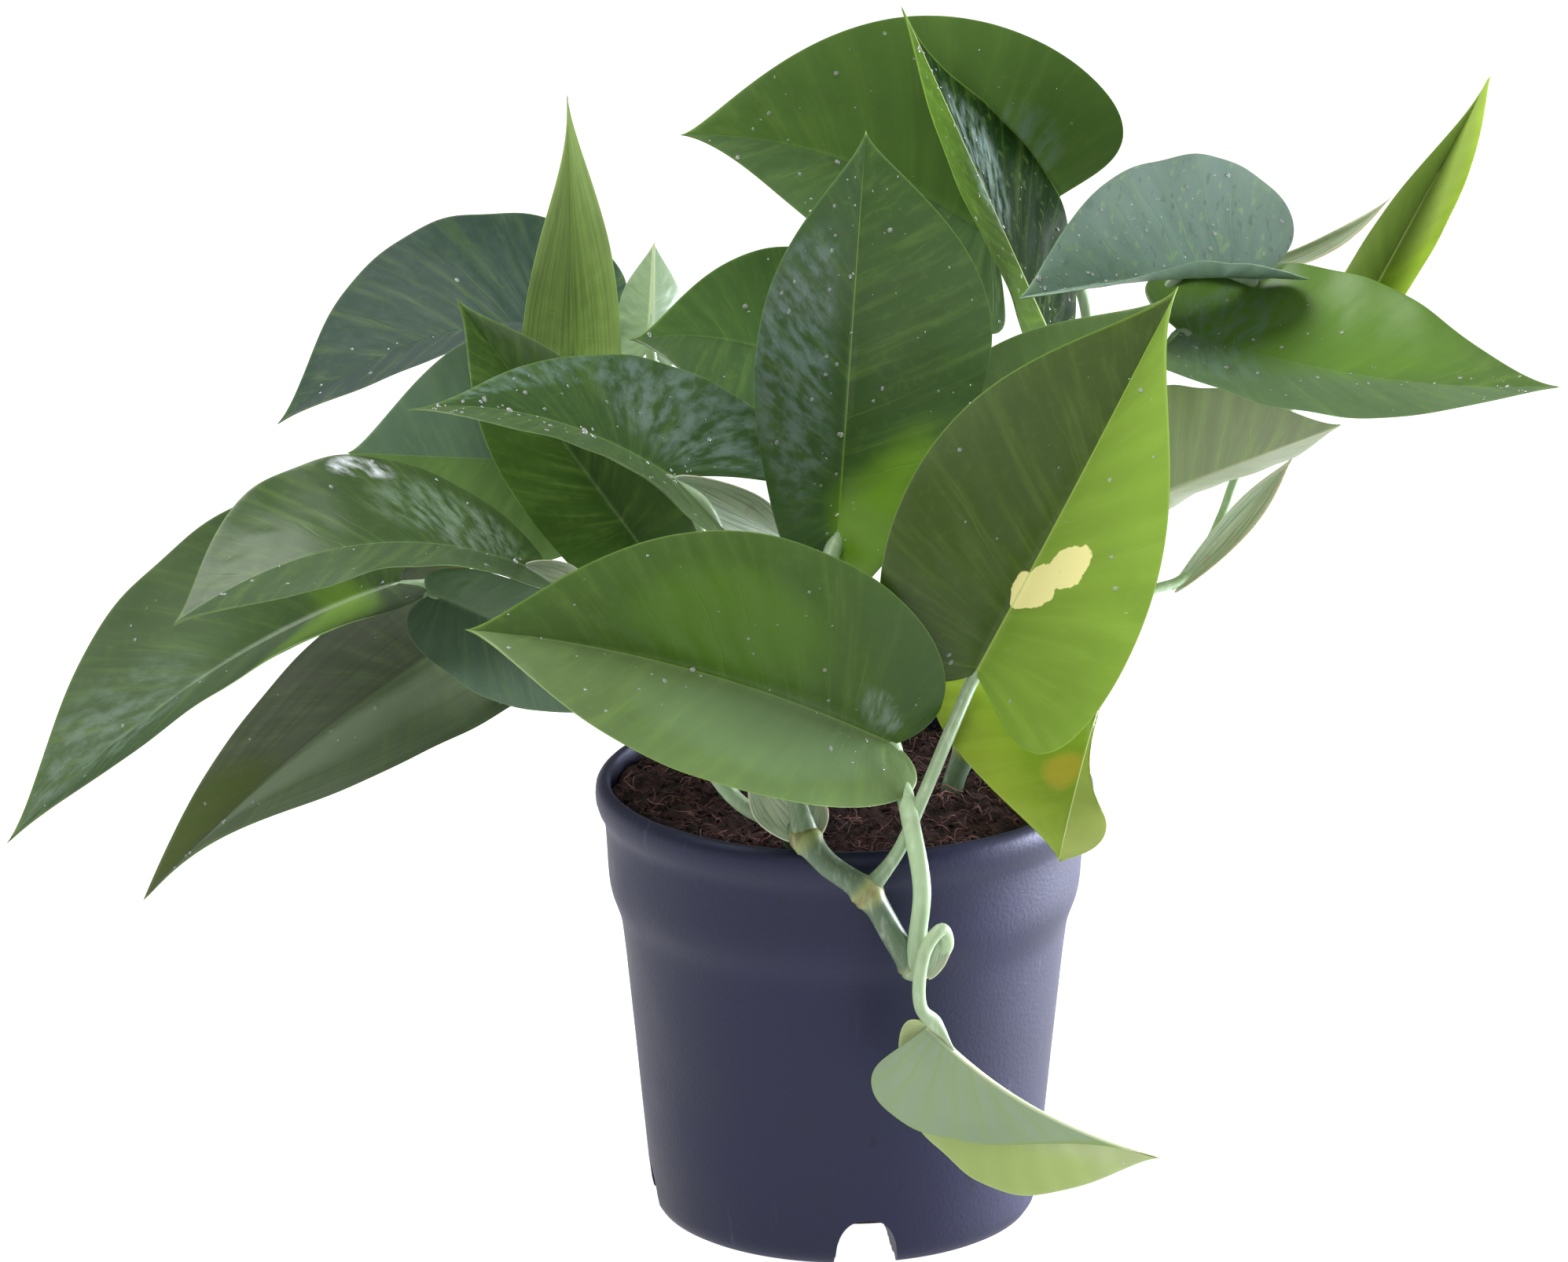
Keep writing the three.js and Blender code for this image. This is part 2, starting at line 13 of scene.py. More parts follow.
import bmesh
import bpy
import numpy as np
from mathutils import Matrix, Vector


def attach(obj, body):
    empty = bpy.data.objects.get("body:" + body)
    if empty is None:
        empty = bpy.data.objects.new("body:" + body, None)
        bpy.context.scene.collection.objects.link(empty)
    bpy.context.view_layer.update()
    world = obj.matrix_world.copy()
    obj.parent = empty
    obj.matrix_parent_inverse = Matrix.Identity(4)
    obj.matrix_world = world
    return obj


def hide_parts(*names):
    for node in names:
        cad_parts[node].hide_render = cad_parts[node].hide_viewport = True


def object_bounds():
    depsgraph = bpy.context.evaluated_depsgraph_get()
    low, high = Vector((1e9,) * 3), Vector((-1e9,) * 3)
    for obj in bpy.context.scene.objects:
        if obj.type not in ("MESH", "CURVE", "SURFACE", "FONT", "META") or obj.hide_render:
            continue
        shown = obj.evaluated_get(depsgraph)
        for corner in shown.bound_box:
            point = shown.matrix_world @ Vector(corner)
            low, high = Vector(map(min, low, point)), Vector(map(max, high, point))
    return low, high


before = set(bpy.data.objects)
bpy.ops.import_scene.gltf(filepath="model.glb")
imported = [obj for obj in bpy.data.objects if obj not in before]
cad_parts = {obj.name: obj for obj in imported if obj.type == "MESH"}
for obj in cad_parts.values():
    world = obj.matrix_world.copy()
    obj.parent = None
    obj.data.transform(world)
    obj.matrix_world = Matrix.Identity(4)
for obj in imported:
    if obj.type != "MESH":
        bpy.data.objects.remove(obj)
cad_low, cad_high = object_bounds()
size_mm = [round(1000 * (high - low)) for low, high in zip(cad_low, cad_high)]
print("frame:", len(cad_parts), "nodes,", size_mm, "mm")

# %% [markdown]
# ## The studio
#
# The photograph was taken from far away with a long lens, about 17 degrees above the horizon, so its
# perspective is slight. The camera goes where the pot's rim, foot and taper line up with the picture. A very
# large pale floor fills the whole background, so the object is seen against one even tone.
#
# Wide soft lights stand round the plant. The strongest hangs above and to the left. A smaller one stands low
# at the right and a little behind, as a bright window would: it draws the lavender side of the dark pot and
# the glow of the blades that face it. The floor glows white itself, so that no shadow greys it.

# %% Camera
CAMERA_AT = (-0.0158, -2.2804, 0.8675)
CAMERA_DOWN = 17.3  # degrees below the horizon
LENS = 211.56  # for a sensor 36 mm wide

camera = bpy.data.objects.new("camera", bpy.data.cameras.new("camera"))
bpy.context.collection.objects.link(camera)
camera.location = CAMERA_AT
camera.rotation_euler = (math.radians(90 - CAMERA_DOWN), 0, 0)
camera.data.lens = LENS
camera.data.clip_start, camera.data.clip_end = 0.05, 50
bpy.context.scene.camera = camera
print("camera at", CAMERA_AT, "lens", LENS)

# %% Lights and floor
# Each light: where it stands, the size of its square face in metres, its power in watts and its tint.
LIGHTS = {
    "overhead": ((-0.35, -0.15, 1.6), 1.1, 32, (1.0, 1.0, 1.0)),
    "front": ((-0.5, -1.9, 1.3), 1.2, 10, (1.0, 1.0, 0.98)),
    "right": ((0.66, 0.2, 0.05), 0.4, 27, (0.86, 0.88, 1.0)),
    "left": ((-1.3, 0.5, 0.55), 0.9, 1.6, (0.88, 0.93, 1.0)),
}
AIM = (0, 0, 0.15)  # the middle of the plant, where all of them look
SKY_STRENGTH = 0.25


def area_light(name, place, size, power, tint):
    """A square soft light that looks at the middle of the plant."""
    light = bpy.data.objects.new(name, bpy.data.lights.new(name, "AREA"))
    light.data.size, light.data.energy, light.data.color = size, power, tint
    light.location = place
    light.visible_camera = False
    aim = np.array(AIM) - np.array(place)
    across = math.hypot(aim[0], aim[1])
    light.rotation_euler = (math.atan2(across, -aim[2]), 0, math.atan2(-aim[0], aim[1]))
    bpy.context.collection.objects.link(light)


for name, (place, size, power, tint) in LIGHTS.items():
    area_light(name, place, size, power, tint)

world = bpy.data.worlds.new("studio")
world.use_nodes = True
sky = world.node_tree.nodes["Background"].inputs
sky["Color"].default_value, sky["Strength"].default_value = (1.0, 1.0, 1.0, 1), SKY_STRENGTH
bpy.context.scene.world = world
bpy.context.scene.view_settings.view_transform = "Standard"

floor_mesh = bpy.data.meshes.new("floor")
floor_mesh.from_pydata([(-30, -10, 0), (30, -10, 0), (30, 45, 0), (-30, 45, 0)], [], [(0, 1, 2, 3)])
floor = bpy.data.objects.new("floor", floor_mesh)
bpy.context.collection.objects.link(floor)
print("lights:", ", ".join(LIGHTS))

# %% [markdown]
# ## Helpers
#
# A net is a grid of points. `net_quads` says which four points make each face, and `make_piece` hands points
# and faces to Blender. It merges the points where a net closes on itself, at a seam or a pole, and turns all
# faces outwards. Numbers that a finish needs to know, such as the distance from a leaf's midrib, are stored
# on the points under a name.


# %% From numpy to a mesh
MILLIMETRE = 0.001  # in metres, which Blender counts in
MERGED_WITHIN = 4e-6  # metres


def net_quads(rows, columns, closed=False):
    """Faces of a net of rows by columns of points. closed joins its last column to its first."""
    index = np.arange(rows * columns).reshape(rows, columns)
    if closed:
        index = np.concatenate([index, index[:, :1]], axis=1)
    corners = [index[:-1, :-1], index[:-1, 1:], index[1:, 1:], index[1:, :-1]]
    return np.stack(corners, axis=-1).reshape(-1, 4)


def make_piece(name, points, quads, finish, stands_for=(), values=None, uv=None):
    """A smooth closed mesh, with its place in its points, that rides on the root and has its finish."""
    mesh = bpy.data.meshes.new(name)
    mesh.from_pydata((points.reshape(-1, 3) * MILLIMETRE).tolist(), [], quads.tolist())
    for key, value in (values or {}).items():
        stored = mesh.attributes.new(key, "FLOAT", "POINT")
        stored.data.foreach_set("value", value.ravel().astype(np.float32))
    if uv is not None:
        layer = mesh.uv_layers.new(name="surface")
        layer.data.foreach_set("uv", uv.reshape(-1, 2)[quads.ravel()].astype(np.float32).ravel())
    shaped = bmesh.new()
    shaped.from_mesh(mesh)
    bmesh.ops.remove_doubles(shaped, verts=shaped.verts, dist=MERGED_WITHIN)
    bmesh.ops.recalc_face_normals(shaped, faces=shaped.faces)
    shaped.to_mesh(mesh)
    shaped.free()
    mesh.shade_smooth()
    mesh.materials.append(finish)
    piece = bpy.data.objects.new(name, mesh)
    bpy.context.collection.objects.link(piece)
    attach(piece, "root")
    if stands_for:
        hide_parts(*stands_for)
    return piece


def turned(distance, angle, height):
    """Points at a distance and an angle from the pot's axis, at a height."""
    return np.stack([distance * np.cos(angle), distance * np.sin(angle), height], axis=-1)


def length_gone(line):
    """The length of a line up to each of its points."""
    return np.r_[0, np.cumsum(np.linalg.norm(np.diff(line, axis=0), axis=1))]


def unit(vectors):
    """Vectors brought to length 1."""
    return vectors / np.maximum(np.linalg.norm(vectors, axis=-1, keepdims=True), 1e-12)


def ease(x, low, high):
    """0 below low, 1 above high, and a soft step between."""
    t = np.clip((x - low) / (high - low), 0, 1)
    return t * t * (3 - 2 * t)


print("helpers ready")

# %% [markdown]
# ## Building a finish
#
# Every finish is one Principled shader fed by a few procedural nodes. `Finish` keeps that short to write:
# most methods add one node and give back its output, so a pattern reads like a sum. Patterns use Object
# coordinates, which are the metres of the frame, or the values stored on the points.


# %% The finish builder
def srgb(red, green, blue):
    """A colour from picture values of 0 to 255, as the linear colour that shaders use."""
    c = np.array([red, green, blue]) / 255
    linear = np.where(c <= 0.04045, c / 12.92, ((c + 0.055) / 1.055) ** 2.4)
    return (*(float(x) for x in linear), 1.0)


class Finish:
    def __init__(self, name, **constants):
        """A material with a Principled shader, whose constants are set on the shader's own sockets."""
        self.material = bpy.data.materials.new(name)
        self.material.use_nodes = True
        self.nodes = self.material.node_tree.nodes
        self.shader = self.nodes["Principled BSDF"]
        for socket, value in constants.items():
            self.shader.inputs[socket.replace("_", " ")].default_value = value

    def feed(self, socket, source):
        if isinstance(source, bpy.types.NodeSocket):
            self.material.node_tree.links.new(source, socket)
        else:
            socket.default_value = source

    def node(self, kind, **inputs):
        """A new node with its sockets fed. An underscore in a name stands for a space."""
        node = self.nodes.new(kind)
        for key, source in inputs.items():
            self.feed(node.inputs[key.replace("_", " ")], source)
        return node

    def stored(self, name):
        """A number stored on the points."""
        node = self.node("ShaderNodeAttribute")
        node.attribute_name = name
        return node.outputs["Fac"]

    def uv(self):
        node = self.node("ShaderNodeUVMap")
        node.uv_map = "surface"
        return node.outputs["UV"]

    def place(self):
        return self.node("ShaderNodeTexCoord").outputs["Object"]

    def stretched(self, vector, scale, shift=(0, 0, 0)):
        return self.node("ShaderNodeMapping", Vector=vector, Scale=scale, Location=shift).outputs["Vector"]

    def noise(self, vector, scale, detail=3.0, roughness=0.55):
        node = self.node("ShaderNodeTexNoise", Vector=vector, Scale=scale, Detail=detail, Roughness=roughness)
        return node.outputs["Fac"]

    def compute(self, kind, a, b=0.0, c=0.0):
        node = self.node("ShaderNodeMath")
        node.operation = kind
        for socket, source in zip(node.inputs, (a, b, c)):
            self.feed(socket, source)
        return node.outputs["Value"]

    def times(self, a, b):
        return self.compute("MULTIPLY", a, b)

    def times_plus(self, a, b, c):
        """a times b, plus c."""
        return self.compute("MULTIPLY_ADD", a, b, c)

    def ease(self, x, low, high, start=0.0, end=1.0):
        """start where x is below low, end where it is above high, and a soft step between."""
        node = self.node("ShaderNodeMapRange", Value=x, From_Min=low, From_Max=high, To_Min=start, To_Max=end)
        node.interpolation_type = "SMOOTHSTEP"
        return node.outputs["Result"]

    def mix(self, share, a, b):
        """Colour a, with the given share of colour b. The node has sockets of one name for each kind of
        value, so its colour sockets are found by number."""
        node = self.node("ShaderNodeMix")
        node.data_type = "RGBA"
        for key, value in ((0, share), (6, a), (7, b)):
            self.feed(node.inputs[key], value)
        return node.outputs[2]

    def layered(self, colour, *layers):
        """A colour under layers, each of them the share by which it shows and its own colour."""
        for share, over in layers:
            colour = self.mix(share, colour, over)
        return colour

    def bump(self, height, strength, distance):
        node = self.node("ShaderNodeBump", Height=height, Strength=strength, Distance=distance)
        self.feed(self.shader.inputs["Normal"], node.outputs["Normal"])

    def done(self, colour, roughness):
        self.feed(self.shader.inputs["Base Color"], colour)
        self.feed(self.shader.inputs["Roughness"], roughness)
        return self.material


paper = Finish("pale_floor", Emission_Color=(1, 1, 1, 1), Emission_Strength=1.0, Specular_IOR_Level=0.1)
floor_mesh.materials.append(paper.done((0.3, 0.3, 0.3, 1), 0.9))
print("finish builder ready")

# %% [markdown]
# ## The pot
#
# A nursery pot is one thin moulding: a straight taper, a soft step out to a collar, and a rolled lip. Four
# arched notches under its foot let water out. It could be turned with a Screw modifier and cut with Booleans,
# but one net does both: the wall's profile is turned about the axis, and over each notch the lower rows are
# lifted by the height of an arch. So the tunnel, the cut edge and the taper above it stay one smooth skin.

# %% Pot profile
# The profile is given as distances from the axis and heights: from the middle of the foot up the outside to
# the lip, and from there down the inside. A notch runs out from its start to the wall, with half its width
# to either side of its middle line.
NOTCH_HEIGHT, NOTCH_HALF, NOTCH_TURN, NOTCH_START = 13.0, 8.0, -83.6, 16.0
NOTCH_COLUMNS, NOTCH_MARGIN, FOOT_RADIUS = 33, 1.2, 50
ANGLE_STEP, PROFILE_STEP = 1.6, 3.2  # degrees and millimetres between the points of the net
LIFT_FADES = 30.0  # the lift over a notch has faded out at this height
WALL_STARTS = 47.5  # what lies farther out than this belongs to the wall
WALL_KEPT = 40  # below this height, a lifted point of the outer wall goes back onto its profile
OUTSIDE_SHARE = 0.6  # all the outer points are in this first share of the profile
OUTSIDE = [
    (0, 0), (10, 0), (15.9, 0), (16.1, 0), (26, 0), (38, 0), (46.4, 0), (48.3, 0.5), (49.6, 1.8),
    (50.4, 3.6), (50.8, 6), (51.4, 12), (52.2, 20), (53.2, 30), (54.6, 45), (56.1, 60), (57.1, 70),
    (57.9, 77), (58.4, 80.5), (59.2, 83), (60.2, 85.6), (61.0, 88), (61.5, 91), (61.8, 95), (62.1, 101),
    (62.4, 105.5), (62.8, 107.6), (63.8, 109.2), (64.6, 110.8), (65, 113), (65, 115), (64.5, 116.7),
    (63.5, 117.7), (62.4, 118),
]
INSIDE = [
    (61.5, 117.8), (61.1, 117), (61.1, 106), (60.4, 92), (59.5, 88), (57, 79), (55.8, 70), (52.8, 40),
    (51, 20), (49.6, 6), (48, 2.6), (46.2, 1.6), (40, 1.6), (26, 1.6), (16.1, 1.6), (15.9, 1.6), (0, 1.6),
]


def resampled(points, step):
    """The points as a line with a point about every step, its corners eased by a running mean of three."""
    line = np.array(points, float)
    gone = length_gone(line)
    count = max(int(gone[-1] / step), 2)
    at = np.unique(np.r_[np.linspace(0, gone[-1], count), gone])
    fine = np.stack([np.interp(at, gone, line[:, k]) for k in range(line.shape[1])], axis=1)
    fine[1:-1] = (fine[:-2] + fine[1:-1] + fine[2:]) / 3
    return fine


def notch_lift(x, y):
    """Height of the arches over the foot: H (1 - |a / A|^2.8)^0.55, where a is the distance from the middle
    line of the nearest notch and A its half width, and 0 nearer to the axis than where the notches start."""
    turns = np.radians(NOTCH_TURN + 90.0 * np.arange(4))
    along = x[..., None] * np.cos(turns) + y[..., None] * np.sin(turns)
    aside = y[..., None] * np.cos(turns) - x[..., None] * np.sin(turns)
    arch = np.clip(1 - np.abs(aside / NOTCH_HALF) ** 2.8, 0, 1) ** 0.55
    return NOTCH_HEIGHT * (arch * (along > NOTCH_START)).max(axis=-1)


reach = NOTCH_HALF + NOTCH_MARGIN
dense = np.degrees(np.arcsin(np.linspace(-reach, reach, NOTCH_COLUMNS) / FOOT_RADIUS))
angles = np.concatenate([np.arange(0, 360, ANGLE_STEP), *(NOTCH_TURN + 90 * k + dense for k in range(4))])
angles = np.radians(np.unique(np.round(angles % 360, 3)))
profile = resampled(OUTSIDE + INSIDE, PROFILE_STEP)
print("pot profile:", len(profile), "points,", len(angles), "angles")

# %% Pot mesh
r, z = profile[:, :1] * np.ones_like(angles), profile[:, 1:] * np.ones_like(angles)
lift = notch_lift(r * np.cos(angles), r * np.sin(angles))
z = z + lift * np.clip(1 - z / LIFT_FADES, 0, 1)
outer = np.array([p for p in OUTSIDE if p[1] > 1])
is_outer_wall = (np.arange(len(r)) < len(r) * OUTSIDE_SHARE)[:, None] & (r > WALL_STARTS)
r = np.where(is_outer_wall & (lift > 0) & (z < WALL_KEPT), np.interp(z, outer[:, 1], outer[:, 0]), r)
pot_points = turned(r, angles, z)

# %% [markdown]
# The plastic is slate with a blue-violet cast, also in its highlights. It is satin and not glossy, so they
# are wide. Faint clouds, fine moulding grain, a few pale rubbed marks and small dark nicks break it up. All
# of that is noise on Object coordinates, at the scale of the real marks.

# %% Pot finish
plastic = Finish("slate_plastic", Specular_Tint=(0.7, 0.72, 1.0, 1.0), Specular_IOR_Level=0.48)
where = plastic.place()
clouds = plastic.noise(where, 26, 4)
grain = plastic.noise(where, 900, 2)
marks = plastic.noise(plastic.stretched(where, (1, 1, 0.18)), 160, 3, 0.7)
marks = plastic.times(plastic.ease(marks, 0.6, 0.75), plastic.ease(plastic.noise(where, 14, 1), 0.45, 0.6))
nicks = plastic.noise(plastic.stretched(where, (1, 1, 0.4), (0.2, 0.1, 0)), 210, 2, 0.6)
nicks = plastic.times(plastic.ease(nicks, 0.66, 0.7), plastic.ease(plastic.noise(where, 19, 1), 0.5, 0.6))
slate = plastic.layered(
    srgb(18, 20, 42),
    (plastic.ease(clouds, 0.3, 0.7), srgb(24, 25, 52)),
    (plastic.times(marks, 0.22), srgb(110, 108, 140)),
    (plastic.times(nicks, 0.8), srgb(18, 18, 32)),
)
plastic.bump(plastic.times_plus(grain, 0.6, clouds), 0.25, 0.0006)
pot_finish = plastic.done(slate, plastic.ease(clouds, 0.2, 0.8, 0.46, 0.58))

pot_quads = net_quads(*pot_points.shape[:2], closed=True)
pot = make_piece("pot_wall", pot_points, pot_quads, pot_finish, ["pot"])
print("pot:", len(pot.data.polygons), "faces")

# %% [markdown]
# ## The peat
#
# The pot is filled to a few millimetres under its lip with dark red-brown peat and coir. From a step away it
# reads as a rough dark surface with crumbs and short pale fibres. A single displaced disc looks like cloth,
# so the disc only gives the lie of the ground: crumbs and fibres are strewn on it as two swarms, each made
# with one array of random places.

# %% Peat surface
SOIL_TOP, SOIL_EDGE, SOIL_FLOOR = 112.5, 60.6, 12.0
DOME_RISE, DOME_RADIUS = 3, 60
# The peat's side and bottom, as distances from the axis and heights.
SKIRT = np.array([(60.3, 104), (59, 92), (58, 86), (55, 66), (50, SOIL_FLOOR), (0, SOIL_FLOOR)])
WALL_POINTS = 60  # the profile's last points, which are the pot's floor and inner wall
WALL_GAP = 0.4  # between that wall and the peat
RINGS = 72
chance = np.random.default_rng(7)


def waves(x, y, lengths, seed):
    """Rough ground: for each wave length, six sine waves in random directions, as high as a share of it."""
    draw = np.random.default_rng(seed)
    height = np.zeros_like(x)
    for length in lengths:
        for turn, phase in zip(draw.uniform(0, np.pi, 6), draw.uniform(0, 6.3, 6)):
            along = x * np.cos(turn) + y * np.sin(turn)
            height += 0.022 * length * np.sin(6.283 / length * along + phase)
    return height


def ground(x, y):
    """Height of the peat at x, y: a shallow dome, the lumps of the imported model, and finer waves."""
    dome = DOME_RISE * (1 - (x * x + y * y) / DOME_RADIUS**2)
    lumps = np.sin(x * 0.31 + 1.3) * np.cos(y * 0.37) + 0.6 * np.sin(x * 0.83 - y * 0.71)
    return SOIL_TOP + dome + 0.9 * lumps + waves(x, y, (11, 6, 3.2), 3)


rings = np.linspace(0, SOIL_EDGE, RINGS)[:, None]
spokes = np.radians(np.arange(0, 360, ANGLE_STEP))
top = turned(rings, spokes, ground(rings * np.cos(spokes), rings * np.sin(spokes)))
inside = profile[::-1][:WALL_POINTS]
skirt_r = np.minimum(SKIRT[:, :1], np.interp(SKIRT[:, 1:], inside[:, 1], inside[:, 0] - WALL_GAP))
soil_points = np.concatenate([top, turned(skirt_r, spokes, SKIRT[:, 1:] + 0 * spokes)])

earth = Finish("peat", Specular_IOR_Level=0.25)
where = earth.place()
coarse, fine = earth.noise(where, 170, 5, 0.7), earth.noise(where, 700, 3)
brown = earth.layered(
    srgb(26, 16, 18),
    (earth.ease(coarse, 0.35, 0.65), srgb(64, 44, 44)),
    (earth.ease(fine, 0.62, 0.75), srgb(112, 82, 74)),
)
earth.bump(earth.compute("ADD", coarse, fine), 0.8, 0.002)
soil_finish = earth.done(brown, 0.95)
soil_quads = net_quads(*soil_points.shape[:2], closed=True)
soil = make_piece("peat", soil_points, soil_quads, soil_finish, ["soil"])
print("peat:", len(soil.data.polygons), "faces")


# %% Crumbs
def strewn(count, share):
    """Random places spread evenly over the peat, out to a share of its edge."""
    spread = SOIL_EDGE * share * np.sqrt(chance.uniform(0, 1, count))
    turn = chance.uniform(0, 2 * np.pi, count)
    return spread * np.cos(turn), spread * np.sin(turn)


CRUMBS = 2600
x, y = strewn(CRUMBS, share=0.985)
middle = np.stack([x, y, ground(x, y) + chance.uniform(-0.3, 0.8, CRUMBS)], axis=-1)
corners = np.array([(1, 0, 0), (0, 1, 0), (-1, 0, 0), (0, -1, 0), (0, 0, 1), (0, 0, -1)], float)
faces = np.array([(0, 1, 4), (1, 2, 4), (2, 3, 4), (3, 0, 4), (1, 0, 5), (2, 1, 5), (3, 2, 5), (0, 3, 5)])
axes = unit(chance.normal(size=(CRUMBS, 3, 3)))
reach = chance.uniform(0.3, 1.1, (CRUMBS, 3, 1)) * (0.6 + chance.uniform(0, 1, (CRUMBS, 1, 1)) ** 3)
crumb_points = middle[:, None] + corners @ (axes * reach)
crumb_faces = faces[None] + 6 * np.arange(CRUMBS)[:, None, None]
make_piece("peat_crumbs", crumb_points, crumb_faces.reshape(-1, 3), soil_finish)
print("crumbs:", CRUMBS)

# %% Fibres
FIBRES, STEPS, SIDES = 950, 6, 3
LEAST_GAP = 0.8  # between a fibre and the peat's edge
x, y = strewn(FIBRES, share=0.97)
heading = chance.uniform(0, 2 * np.pi, FIBRES)
length = chance.uniform(3, 10, FIBRES)
t = np.linspace(-0.5, 0.5, STEPS)
bend = heading[:, None] + t * chance.uniform(-1.6, 1.6, (FIBRES, 1))
x = x[:, None] + length[:, None] * t * np.cos(bend)
y = y[:, None] + length[:, None] * t * np.sin(bend)
held = np.minimum(1, (SOIL_EDGE - LEAST_GAP) / np.hypot(x, y))
x, y = x * held, y * held
arched = chance.uniform(0, 2.0, (FIBRES, 1)) * (0.25 - t * t) * 4
rise = 0.45 + arched + chance.uniform(-1, 1, (FIBRES, 1)) * t
middle = np.stack([x, y, ground(x, y) + rise], axis=-1)
thick = chance.uniform(0.1, 0.26, (FIBRES, 1)) * np.sqrt(np.clip(1 - (2 * t) ** 6, 0, 1))
ring = 2 * np.pi * np.arange(SIDES) / SIDES
aside = np.stack([-np.sin(bend), np.cos(bend), 0 * bend], axis=-1)
circle = np.cos(ring)[:, None] * aside[:, :, None] + np.sin(ring)[:, None] * np.array([0, 0, 1.0])
fibre_points = middle[:, :, None] + thick[:, :, None, None] * circle
fibre_faces = net_quads(STEPS, SIDES, closed=True)[None] + SIDES * STEPS * np.arange(FIBRES)[:, None, None]

coir = Finish("coir_fibre", Specular_IOR_Level=0.3)
shade = coir.noise(coir.place(), 120, 2)
coir_finish = coir.done(coir.mix(coir.ease(shade, 0.3, 0.7), srgb(40, 24, 26), srgb(122, 86, 82)), 0.85)
make_piece("peat_fibres", fibre_points, fibre_faces.reshape(-1, 4), coir_finish)
print("fibres:", FIBRES)

# %% [markdown]
# ## The blades' measurements
#
# A pothos blade is a heart drawn out to a point. One formula draws them all, and the numbers below place and
# shape each one in millimetres: `base` is the joint with the petiole, `tip` the point, `bow` how far the
# middle of the midrib stands off a straight line, and `face` the way the upper side looks. `half` is the flat
# width of each side of the midrib, `fold` the angle that each side is raised, `lobe` how far each lobe
# reaches back past the joint, `belly` where along the margin the blade is widest, and `taper` how hollow the
# margin runs out to the tip. Pairs are the two sides.


# %% Blade measurements
def blade(
    base, tip, face, half, fold, bow=(0, 0, 0), lobe=(0.12, 0.12), belly=(0.38, 0.38), taper=(1.5, 1.5)
):
    """The measurements of a blade under their names, with the usual ones filled in."""
    pairs = dict(half=half, lobe=lobe, belly=belly, taper=taper)
    return dict(base=base, tip=tip, bow=bow, face=face, fold=fold, **pairs)


